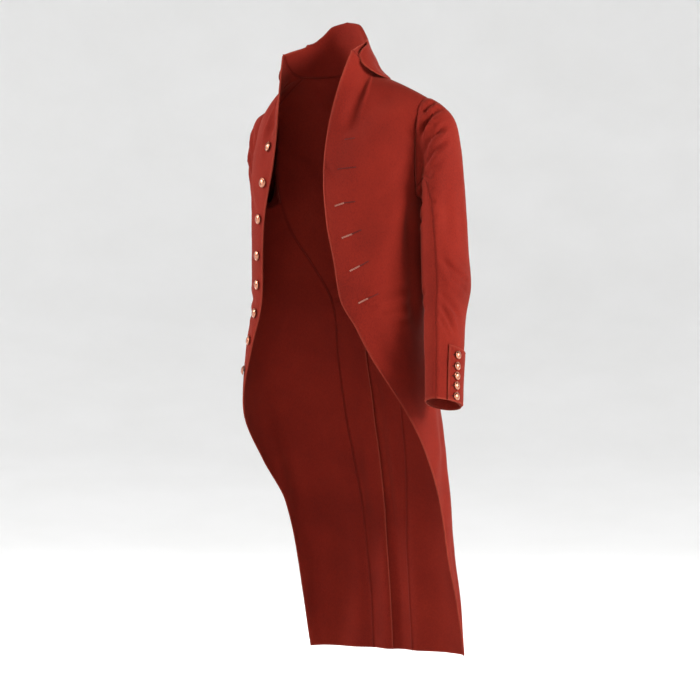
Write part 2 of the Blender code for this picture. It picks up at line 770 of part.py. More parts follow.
def make_cuff_buttons(side_name, side, collection, finish):
    cloth = collection.objects[f"{side_name}_under_sleeve"]
    t = np.linspace(FLAP_TOP, 1.0, CUFF_SAMPLES)
    line = lifted_sleeve(side, np.array([arm_place(CUFF_BUTTON_TURN)]), t)[:, 0]
    middle = sleeve_points(side, armhole_places()[:-1], t).mean(axis=1)
    for number, height in enumerate(CUFF_BUTTON_HEIGHTS, 1):
        near = np.array([np.interp(-height, -line[:, 2], line[:, i]) for i in range(3)])
        inside = np.array([np.interp(-height, -middle[:, 2], middle[:, i]) for i in range(3)])
        seat, normal = seat_on_cloth(cloth, near, near - inside)
        make_button(f"{side_name}_cuff_button_{number}", CUFF_BUTTON, seat, normal, collection, finish)


def edge_place(side, inset, height):
    """A point on the front at a distance in from its edge at a height, above or below the chest line."""
    if height < CHEST_LINE:
        return body_point(side["sign"] * (EDGE[side["edge"]](height) + gap_angle(height, inset)), height)
    t = np.linspace(0, 1, YOKE_SAMPLES)
    across = front_yoke(side, np.array([0.0, 1 / FRONT_COLUMNS])[:, None], t[None, :])
    spacing = np.linalg.norm(across[1, 0] - across[0, 0])
    column = front_yoke(side, np.full_like(t, inset / spacing / FRONT_COLUMNS), t)
    return np.array([np.interp(height, column[:, 2], column[:, i]) for i in range(3)])


def make_front_buttons(side, collection, finish):
    cloth = collection.objects["right_front"]
    for number, height in enumerate(FRONT_BUTTON_HEIGHTS, 1):
        near = edge_place(side, FRONT_BUTTON_INSET, height)
        from_middle = near - np.array([0.0, 0.0, height])
        seat, normal = seat_on_cloth(cloth, near, from_middle)
        make_button(f"front_button_{number}", FRONT_BUTTON, seat, normal, collection, finish)


def main():
    for obj in list(bpy.data.objects):
        bpy.data.objects.remove(obj, do_unlink=True)
    coat = bpy.data.collections.new(COLLECTION)
    bpy.context.scene.collection.children.link(coat)
    wool = material("red_wool_broadcloth", WOOL, 0.85, 0.0)
    metal = material("gilt_button_metal", METAL, 0.3, 1.0)
    for side_name, side in SIDES.items():
        make_front(f"{side_name}_front", side, coat, wool)
        make_back(f"{side_name}_back", side, coat, wool)
        make_top_sleeve(f"{side_name}_top_sleeve", side, coat, wool)
        make_under_sleeve(f"{side_name}_under_sleeve", side, coat, wool)
        make_cuff_buttons(side_name, side, coat, metal)
    make_collar("collar", coat, wool)
    make_front_buttons(SIDES["right"], coat, metal)


main()
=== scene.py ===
"""The looks of a red wool cutaway tail coat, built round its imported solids.

The coat's front faces -Y, its left side is +X and up is +Z, with the origin at the base of its neck. The
tables are in millimetres and the meshes in metres. Each piece of cloth is a fine sheet of points on its
solid's form, with its creases, pressed edges and seams worked into it and a thin wall behind it.
"""

import math

import bpy
import numpy as np
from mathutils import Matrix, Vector


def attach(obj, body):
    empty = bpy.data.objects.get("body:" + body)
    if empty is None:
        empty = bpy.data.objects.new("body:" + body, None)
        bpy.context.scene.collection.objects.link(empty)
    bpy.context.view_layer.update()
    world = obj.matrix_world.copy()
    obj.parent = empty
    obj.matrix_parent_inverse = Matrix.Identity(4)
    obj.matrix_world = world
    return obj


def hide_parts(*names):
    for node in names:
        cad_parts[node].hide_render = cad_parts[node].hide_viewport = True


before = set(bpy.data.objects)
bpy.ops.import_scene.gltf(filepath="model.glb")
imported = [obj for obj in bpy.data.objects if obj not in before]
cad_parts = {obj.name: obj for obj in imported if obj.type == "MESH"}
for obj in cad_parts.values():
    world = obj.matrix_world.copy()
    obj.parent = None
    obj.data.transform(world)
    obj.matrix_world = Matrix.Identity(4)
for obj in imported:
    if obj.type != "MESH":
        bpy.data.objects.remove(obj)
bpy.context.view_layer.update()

MM = 0.001
# The least length, in mm, that anything is divided by
SMALL = 0.1

# Cloth: its thickness, the step where one layer laps another, how much sewn edges run into each other, and
# the wall of its solid
CLOTH = 2.0
LAP_STEP = 3.3
SEWN_GAP = -0.2
WALL = 2.4

# Distances from an edge, in mm, at which every sheet has a line of points, the spacing elsewhere, and the
# share of a sheet's height over which its slope is read
EDGE_LINES = np.array([0.0, 0.5, 1.1, 1.9, 2.9, 4.0, 4.7, 5.3, 6.0, 7.2, 9.0])
SPACING = 3.4
SLOPE_STEP = 0.02

# The body of the coat at each height: its middle, half its width, its depth before and behind the middle,
# and how square its plan is, from 2 for an oval
BODY_COLUMNS = ("height", "middle_x", "middle_y", "half_width", "front", "back", "squareness")
BODY_TABLE = [
    (-60, 8, 0, 172, 112, 108, 2.3),
    (-190, 8, 2, 169, 122, 112, 2.3),
    (-290, 4, 2, 165, 118, 104, 2.3),
    (-390, 3, 0, 165, 113, 97, 2.2),
    (-480, -4, 2, 173, 112, 112, 2.3),
    (-590, -1, 12, 184, 112, 126, 2.6),
    (-680, 2, 35, 176, 90, 122, 3.0),
    (-760, 2, 62, 166, 70, 112, 4.0),
    (-860, 1, 85, 162, 60, 104, 5.0),
    (-950, 0, 97, 166, 60, 106, 6.0),
    (-1040, 0, 103, 168, 60, 108, 6.0),
]
HEM = -1040

# Degrees round the body from the middle of the front, at each height: the two front edges and the side-back
# seam
EDGE_COLUMNS = ("height", "left_edge", "right_edge", "side_back")
EDGE_TABLE = [
    (-150, 15, 33, 103),
    (-190, 15, 38, 105),
    (-250, 18, 44, 112),
    (-322, 25, 47, 128),
    (-392, 31.2, 50, 144),
    (-445, 45, 54, 150),
    (-498, 55, 60, 152),
    (-538, 62, 66, 153),
    (-594, 71, 73, 154),
    (-680, 85, 86, 155),
    (-760, 97, 98, 156),
    (-867, 103, 104, 157),
    (-958, 110, 110, 158),
    (-1040, 116, 115, 158),
]

# The chest line, where the lower sheet ends and the yoke begins. It dips under the arm.
CHEST_LINE = -182
UNDERARM_DIP = 36
DIP_HALF_ANGLE = 32
ARM_FRONT_ANGLE = 81
ARM_BACK_ANGLE = 105
YOKE_SWELL = 1.1
SHOULDER_RISE = 3.0
NECK_LEAN = 0.6
OVER_SHOULDER = np.array([0.03, 0.95, -0.2])
FRONT_NECK_RUN = np.array([0.12, 0.42, 0.75])
BACK_NECK_RUN = np.array([0.0, -0.38, 0.85])
FRONT_TURNS_OVER = 0.35
BACK_TURNS_OVER = 0.3

# The neck seam round the neck: degrees from straight out at the side towards the back, distance from the
# neck's middle, and height
NECK_MIDDLE_Y = -26
NECK_COLUMNS = ("turn", "radius", "height")
NECK_TABLE = [(-32, 85, 49), (-15, 82, 32), (3, 80, 20), (22, 79, 15), (55, 80, 17), (90, 80, 22)]
SHOULDER_NECK_TURN = 22
NECK_SHARE = 4 / 10
BACK_NECK_SHARE = 3 / 7

# The collar's fold, its fall's outer edge, and how far the fall's front end reaches forward down its depth
FOLD_TABLE = [(20, 66, 72), (32, 66, 76), (46, 65, 88), (64, 63, 107), (90, 62, 114)]
FOLD_START_TURN = 20
FOLD_RADIUS = 3.2
COLLAR_TUCK = 1.6
STAND_HOLLOW = 2.5
FALL_HOLLOW = 0.12
FALL_EDGE_TABLE = [(-25, 110, 0), (5, 110, 1), (30, 109, 5), (60, 104, 5), (90, 98, 6)]
FALL_FRONT_TABLE = [
    (0.0, 20), (0.12, 2), (0.25, -12), (0.42, -20), (0.58, -20), (0.74, -14), (0.88, -4), (1.0, 14),
]

# Each side's shoulder point, and the sleeve's sections down the arm: the outer and inner ends of each, where
# its middle lies from front to back, half its depth, its tip forward in degrees, and how far the places
# round the armhole have turned to the arm's own
SIDES = {
    "left": {
        "sign": 1,
        "edge": "left_edge",
        "shoulder": (180, 16, -36),
        "sleeve": [
            (204, -46, 182, -212, 9, 45, 0, 0.0),
            (226, -69, 183, -220, 9, 50, 0, 0.1),
            (235, -108, 183, -228, 8, 54, 0, 0.3),
            (241, -158, 182, -236, 7, 57, 0, 0.6),
            (246, -215, 180, -250, 6, 57, 0, 0.9),
            (252, -300, 179, -302, 6, 57, 3, 1.0),
            (257, -365, 179, -365, 7, 57, 6, 1.0),
            (251, -415, 187, -415, 0, 52, 10, 1.0),
            (257, -469, 195, -471, -16, 48, 14, 1.0),
            (262, -523, 205, -527, -32, 46, 15, 1.0),
            (268, -572, 212, -578, -46, 45, 14, 1.0),
        ],
    },
    "right": {
        "sign": -1,
        "edge": "right_edge",
        "shoulder": (164, 42, -42),
        "sleeve": [
            (184, -50, 166, -212, 32, 42, -6, 0.0),
            (197, -74, 167, -220, 40, 46, -14, 0.1),
            (205, -112, 167, -228, 52, 50, -22, 0.25),
            (212, -164, 166, -238, 70, 53, -27, 0.5),
            (219, -224, 164, -254, 94, 55, -27, 0.8),
            (228, -300, 163, -304, 124, 55, -20, 1.0),
            (236, -366, 166, -366, 144, 54, -8, 1.0),
            (233, -415, 167, -415, 147, 51, 0, 1.0),
            (229, -470, 167, -470, 143, 48, 5, 1.0),
            (226, -525, 166, -525, 137, 46, 8, 1.0),
            (223, -575, 164, -575, 130, 45, 8, 1.0),
        ],
    },
}
# Places round the armhole: 0 to 1 up its front, 1 to 2 down its back, 2 to 3 forward under the arm, and the
# angle each has on the arm below, from 0 at the front through 90 outside and 180 behind
ARM_TURN_TABLE = [(-0.5, -90), (0.25, 15), (1.0, 84), (1.5, 130), (2.0, 200), (2.5, 270), (3.25, 375)]
FRONT_SEAM = 0.25
HIND_SEAM = 1.5
ARMHOLE_SAMPLES = 361
FIRST_REACH = 24.0
LEAST_REACH = 16.0

# The wrist flap: how far down the sleeve it starts, how far forward it laps, and how far the cloth under it
# is drawn back
FLAP_TOP = 0.79
FLAP_TURN = 53
FLAP_WIDTH = 56.0
FLAP_UNDERLAP = 5.5
FLAP_EASE = 0.03
FLAP_RISE = 9.0

# The centre-back vent and the tails' soft waves
VENT_TOP = -405
VENT_FULL = -455
VENT_LAP = 24
VENT_STEP = 60
VENT_STEP_ANGLE = 166
VENT_STEP_WIDTH = 10
WAVE_START = -520
WAVE_GROWTH = 400
WAVE_DEPTH = 5.0
WAVES_ROUND = 11
WAVE_TURN = 0.4
WAVE_EDGE = 112
WAVE_FADE = 25


def curve_through(table, column=1):
    """A smooth function through the table's values that never swings past them."""
    rows = sorted(table)
    x = np.array([row[0] for row in rows], float)
    y = np.array([row[column] for row in rows], float)
    step = np.diff(x)
    rise = np.diff(y) / step
    slope = np.zeros(len(x))
    slope[0] = rise[0]
    slope[-1] = rise[-1]
    for i in range(1, len(x) - 1):
        if rise[i - 1] * rise[i] > 0:
            before = 2 * step[i] + step[i - 1]
            after = step[i] + 2 * step[i - 1]
            slope[i] = (before + after) / (before / rise[i - 1] + after / rise[i])

    def value(at):
        at = np.asarray(at, float)
        i = np.clip(np.searchsorted(x, at) - 1, 0, len(x) - 2)
        t = (at - x[i]) / step[i]
        start = (1 + 2 * t) * (1 - t) ** 2 * y[i] + t * (1 - t) ** 2 * step[i] * slope[i]
        end = t * t * (3 - 2 * t) * y[i + 1] + t * t * (t - 1) * step[i] * slope[i + 1]
        return start + end

    return value


def curves(columns, table):
    return {name: curve_through(table, i) for i, name in enumerate(columns) if i}


BODY = curves(BODY_COLUMNS, BODY_TABLE)
EDGE = curves(EDGE_COLUMNS, EDGE_TABLE)
NECK = curves(NECK_COLUMNS, NECK_TABLE)
FOLD = curves(NECK_COLUMNS, FOLD_TABLE)
FALL_EDGE = curves(NECK_COLUMNS, FALL_EDGE_TABLE)
FALL_FRONT = curve_through(FALL_FRONT_TABLE)
ARM_TURN = curve_through(ARM_TURN_TABLE)


def ease(value):
    """0 to 1 with a soft start and end."""
    t = np.clip(value, 0.0, 1.0)
    return t * t * (3 - 2 * t)


def bell(distance, width):
    """1 at no distance, falling away over a width."""
    return np.exp(-((distance / width) ** 2))


def mix(a, b, share):
    return a + (b - a) * share


def xyz(x, y, z):
    return np.stack(np.broadcast_arrays(x, y, z), -1).astype(float)


def unit(vectors):
    return vectors / np.maximum(np.linalg.norm(vectors, axis=-1, keepdims=True), 1e-9)


def reach_along(line):
    """The distance along a line of points from its start to each of them."""
    return np.concatenate([[0.0], np.cumsum(np.linalg.norm(np.diff(line, axis=0), axis=1))])


def places_along(line, steps):
    """Points on a line at the given distances along it."""
    reach = reach_along(line)
    return np.stack([np.interp(steps, reach, line[:, i]) for i in range(3)], -1)


def hermite(start, end, leave, arrive, t):
    t = np.asarray(t)[..., None]
    a = (1 + 2 * t) * (1 - t) ** 2
    b = t * (1 - t) ** 2
    c = t * t * (3 - 2 * t)
    d = t * t * (t - 1)
    return a * start + b * leave + c * end + d * arrive


def body_point(angle, height, out=0.0):
    """The coat's face at an angle round it from the middle of the front, + to the coat's left."""
    height = np.asarray(height, float)
    b = {name: curve(height) for name, curve in BODY.items()}
    turn = np.radians(angle)
    across = np.sin(turn)
    ahead = np.cos(turn)
    depth = np.where(ahead > 0, b["front"], b["back"])
    n = b["squareness"]
    radius = ((np.abs(across) / b["half_width"]) ** n + (np.abs(ahead) / depth) ** n) ** (-1 / n)
    waves = WAVE_DEPTH * ease((WAVE_START - height) / WAVE_GROWTH) * np.sin(turn * WAVES_ROUND + WAVE_TURN)
    waves = waves * ease((np.abs(angle) - WAVE_EDGE) / WAVE_FADE)
    radius = radius + out + waves
    return xyz(b["middle_x"] + radius * across, b["middle_y"] - radius * ahead, height)


def chest_line(angle):
    under = np.clip((np.abs(angle) - (ARM_FRONT_ANGLE + ARM_BACK_ANGLE) / 2) / DIP_HALF_ANGLE, -1, 1)
    return CHEST_LINE - UNDERARM_DIP * np.cos(under * math.pi / 2) ** 2


def neck_point(sign, turn, table=NECK, out=0.0, up=0.0):
    radius = table["radius"](turn) + out
    a = np.radians(turn)
    return xyz(sign * radius * np.cos(a), NECK_MIDDLE_Y + radius * np.sin(a), table["height"](turn) + up)


def gap_angle(height, gap):
    """Degrees that take up a gap along the body's face at a height."""
    return np.degrees(gap / np.maximum(BODY["half_width"](height), 1.0))


def shoulder_point(side, share, back=False):
    """From the neck seam out to the shoulder point along the seam, as the front or the back has it."""
    sign = side["sign"]
    x, y, z = side["shoulder"]
    share = np.asarray(share)
    point = mix(neck_point(sign, SHOULDER_NECK_TURN), np.array([sign * x, y, z], float), share[..., None])
    point[..., 2] += SHOULDER_RISE * np.sin(share * math.pi)
    point[..., 1] += SEWN_GAP / 2 if back else -SEWN_GAP / 2
    return point


def yoke_column(skirt, side, column, top, arrive, t):
    """A curve from the lower sheet's top row up to the neck or shoulder seam."""
    base = skirt(side, column, np.ones_like(column))
    below = skirt(side, column, np.full_like(column, 1 - SLOPE_STEP))
    slope = (base - below) / np.maximum((base - below)[..., 2:], SMALL)
    reach = np.linalg.norm(top - base, axis=-1, keepdims=True)
    return hermite(base, top, slope * reach * YOKE_SWELL, arrive * reach, t)


def yoke_top(side, s, neck_share, middle_turn, back):
    """The neck seam as far as its share of the top, and then the shoulder seam out to the armhole."""
    turn = mix(middle_turn, SHOULDER_NECK_TURN, np.clip(s / neck_share, 0, 1))
    share = np.clip((s - neck_share) / (1 - neck_share), 0, 1)
    on_neck = (s < neck_share - 1e-6)[..., None]
    return np.where(on_neck, neck_point(side["sign"], turn), shoulder_point(side, share, back))


def front_yoke(side, s, t):
    """The front above the chest line: s from the edge to the armhole, t from the chest line to the top."""
    s, t = np.broadcast_arrays(np.asarray(s, float), np.asarray(t, float))
    top = yoke_top(side, s, NECK_SHARE, NECK_TABLE[0][0], False)
    over = ease((s / NECK_SHARE - FRONT_TURNS_OVER) / (1 - FRONT_TURNS_OVER))[..., None]
    mirror = np.array([side["sign"], 1, 1])
    on_shoulder = np.clip((s - NECK_SHARE) / (1 - NECK_SHARE), 0, 1)
    lean = np.where(s < NECK_SHARE, ease(s / NECK_SHARE), (1 - on_shoulder) ** 2)
    out_along_seam = shoulder_point(side, np.array(1.0)) - shoulder_point(side, np.array(0.0))
    inward = -NECK_LEAN * lean[..., None] * unit(out_along_seam)
    arrive = mix(FRONT_NECK_RUN * mirror, OVER_SHOULDER * mirror, over) + inward
    return yoke_column(front_skirt, side, s, top, arrive, t)


def back_yoke(side, s, t):
    """The back above the chest line: s from the middle of the back to the armhole."""
    s, t = np.broadcast_arrays(np.asarray(s, float), np.asarray(t, float))
    top = yoke_top(side, s, BACK_NECK_SHARE, 90.0, True)
    top[..., 0] += side["sign"] * SEWN_GAP / 2 * np.clip(1 - s / BACK_NECK_SHARE, 0, 1)
    over = ease((s / BACK_NECK_SHARE - BACK_TURNS_OVER) / (1 - BACK_TURNS_OVER))[..., None]
    across = OVER_SHOULDER * np.array([side["sign"], -1, -1])
    return yoke_column(back_skirt, side, s, top, mix(BACK_NECK_RUN, across, over), t)


def skirt_heights(junction_angle, v):
    return mix(float(HEM), chest_line(junction_angle), v)


def front_skirt(side, column, v):
    """The front below the chest line. column runs 0 to 1 from the front edge to the armhole's front, and
    1 to 2 from there to the side-back seam; v runs from the hem to the chest line."""
    column, v = np.broadcast_arrays(column, v)
    edge_at_chest = float(EDGE[side["edge"]](CHEST_LINE))
    first = np.clip(column, 0, 1)
    second = np.clip(column - 1, 0, 1)
    junction = mix(mix(edge_at_chest, ARM_FRONT_ANGLE, first), ARM_BACK_ANGLE, second)
    height = skirt_heights(junction, v)
    start = EDGE[side["edge"]](height)
    end = EDGE["side_back"](height) - gap_angle(height, SEWN_GAP / 2)
    whole = (ARM_FRONT_ANGLE - edge_at_chest) / (ARM_BACK_ANGLE - edge_at_chest)
    share = np.where(column <= 1, first * whole, mix(whole, 1.0, second))
    return body_point(side["sign"] * mix(start, end, share), height)


def vent_lap(height):
    return ease((VENT_TOP - height) / (VENT_TOP - VENT_FULL))


def back_skirt(side, column, v):
    """The back below the chest line: column 0 at the middle of the back to 1 at the side-back seam. The left
    tail laps over the right one below the waist."""
    sign = side["sign"]
    column, v = np.broadcast_arrays(column, v)
    height = skirt_heights(mix(180.0, ARM_BACK_ANGLE, column), v)
    lap = vent_lap(height) if sign > 0 else 0.0
    stepped = vent_lap(height - VENT_STEP) if sign > 0 else 0.0
    start = 180.0 - gap_angle(height, SEWN_GAP / 2) + gap_angle(height, VENT_LAP) * lap
    end = EDGE["side_back"](height) + gap_angle(height, SEWN_GAP / 2)
    angle = mix(start, end, column)
    out = LAP_STEP * stepped * ease((angle - VENT_STEP_ANGLE) / VENT_STEP_WIDTH)
    return body_point(sign * angle, height, out)


def armhole_point(side, q):
    """Round the armhole: 0 to 1 up its front, 1 to 2 down its back, 2 to 3 forward under the arm."""
    q = np.mod(np.asarray(q, float), 3.0)
    front = front_yoke(side, np.ones_like(q), np.clip(q, 0, 1))
    back = back_yoke(side, np.ones_like(q), np.clip(2 - q, 0, 1))
    under = front_skirt(side, 2 - np.clip(q - 2, 0, 1), np.ones_like(q))
    return np.where((q <= 1)[..., None], front, np.where((q <= 2)[..., None], back, under))


def armhole_turns(side):
    """The angle that each place round the armhole has about its middle, as two lists to read between."""
    q = np.linspace(-1.5, 4.5, ARMHOLE_SAMPLES)
    points = armhole_point(side, q)
    low = points.min(axis=0)
    high = points.max(axis=0)
    middle = (low + high) / 2
    half = (high - low) / 2
    turn = np.unwrap(np.arctan2((points[:, 2] - middle[2]) / half[2], (middle[1] - points[:, 1]) / half[1]))
    turn = np.degrees(turn)
    under = float(np.interp(2.5, q, turn))
    return q, turn + round((270.0 - under) / 360.0) * 360.0


def section_middle(side, outer_x, outer_z, inner_x, inner_z, y):
    return np.array([side["sign"] * (outer_x + inner_x) / 2, y, (outer_z + inner_z) / 2], float)


def sleeve_sections(side, q):
    """The armhole and the sleeve's sections at the places q round it, as an array of sections by places."""
    sign = side["sign"]
    start = armhole_point(side, q)
    lap = np.floor((q + 0.5) / 3.0)
    arm_turn = ARM_TURN(q - 3 * lap) + 360.0 * lap
    armhole_turn = np.interp(q, *armhole_turns(side))
    sections = [start]
    for outer_x, outer_z, inner_x, inner_z, y, half_depth, tip, turned in side["sleeve"]:
        turn = np.radians(mix(armhole_turn, arm_turn, turned))[:, None]
        tip = math.radians(tip)
        outward = np.array([sign * (outer_x - inner_x), 0.0, outer_z - inner_z]) / 2
        forward = np.array([0.0, -math.cos(tip), math.sin(tip)]) * half_depth
        middle = section_middle(side, outer_x, outer_z, inner_x, inner_z, y)
        sections.append(middle + outward * np.sin(turn) + forward * np.cos(turn))
    return np.array(sections)


def section_places(side):
    """How far down the sleeve, from 0 to 1, each section lies."""
    middles = [section_middle(side, *row[:5]) for row in side["sleeve"]]
    lengths = np.linalg.norm(np.diff(middles, axis=0), axis=1)
    steps = np.concatenate([[FIRST_REACH], np.maximum(lengths, LEAST_REACH)])
    reach = np.concatenate([[0.0], np.cumsum(steps)])
    return reach / reach[-1]


def sleeve_points(side, q, t):
    """The sleeve's face: places q round it by distances t down it, as an array of distances by places."""
    sections = sleeve_sections(side, q)
    knots = section_places(side)
    slopes = np.zeros_like(sections)
    for i in range(1, len(knots) - 1):
        slopes[i] = (sections[i + 1] - sections[i - 1]) / (knots[i + 1] - knots[i - 1])
    slopes[0] = (sections[1] - sections[0]) / (knots[1] - knots[0])
    slopes[-1] = (sections[-1] - sections[-2]) / (knots[-1] - knots[-2])
    rows = []
    for at in t:
        i = int(np.clip(np.searchsorted(knots, at) - 1, 0, len(knots) - 2))
        step = knots[i + 1] - knots[i]
        share = np.full(len(q), (at - knots[i]) / step)
        rows.append(hermite(sections[i], sections[i + 1], slopes[i] * step, slopes[i + 1] * step, share))
    return np.array(rows)


def arm_place(angle):
    """The place round the armhole whose point on the lower arm lies at an angle."""
    q = np.linspace(FRONT_SEAM, 2.5, ARMHOLE_SAMPLES)
    return float(np.interp(angle, ARM_TURN(q), q))


def collar_half(sign, turns, down):
    """Half of the collar. turns are the neck seam's; down runs 0 to 1 up the stand, 1 to 2 over the fold and
    2 to 3 down the fall. The face is the one that shows: the stand's inside and the fall's outside."""
    last = NECK_TABLE[-1][0]
    first = NECK_TABLE[0][0]
    rows = []
    for at in down:
        share = (turns - first) / (last - first)
        fold_turn = mix(FOLD_START_TURN, last, share)
        fold_in = neck_point(sign, fold_turn, FOLD, out=-FOLD_RADIUS, up=-FOLD_RADIUS)
        if at <= 1:
            seam = neck_point(sign, turns, out=-WALL, up=-COLLAR_TUCK)
            outward = unit(fold_in - np.array([0.0, NECK_MIDDLE_Y, 0.0])) * np.array([1, 1, 0])
            rows.append(mix(seam, fold_in, at) - outward * STAND_HOLLOW * math.sin(at * math.pi))
        elif at < 2:
            around = (at - 1) * math.pi
            out = -FOLD_RADIUS * math.cos(around)
            rows.append(neck_point(sign, fold_turn, FOLD, out=out, up=FOLD_RADIUS * (math.sin(around) - 1)))
        else:
            depth = at - 2
            turn = mix(float(FALL_FRONT(depth)), last, share)
            held = np.maximum(turn, FOLD_START_TURN)
            top_radius = FOLD["radius"](held) + FOLD_RADIUS
            top_height = FOLD["height"](held) - FOLD_RADIUS
            spread = depth - FALL_HOLLOW * math.sin(depth * math.pi)
            radius = mix(top_radius, FALL_EDGE["radius"](turn), spread)
            height = mix(top_height, FALL_EDGE["height"](turn), depth)
            a = np.radians(turn)
            rows.append(xyz(sign * radius * np.cos(a), NECK_MIDDLE_Y + radius * np.sin(a), height))
    return np.array(rows)


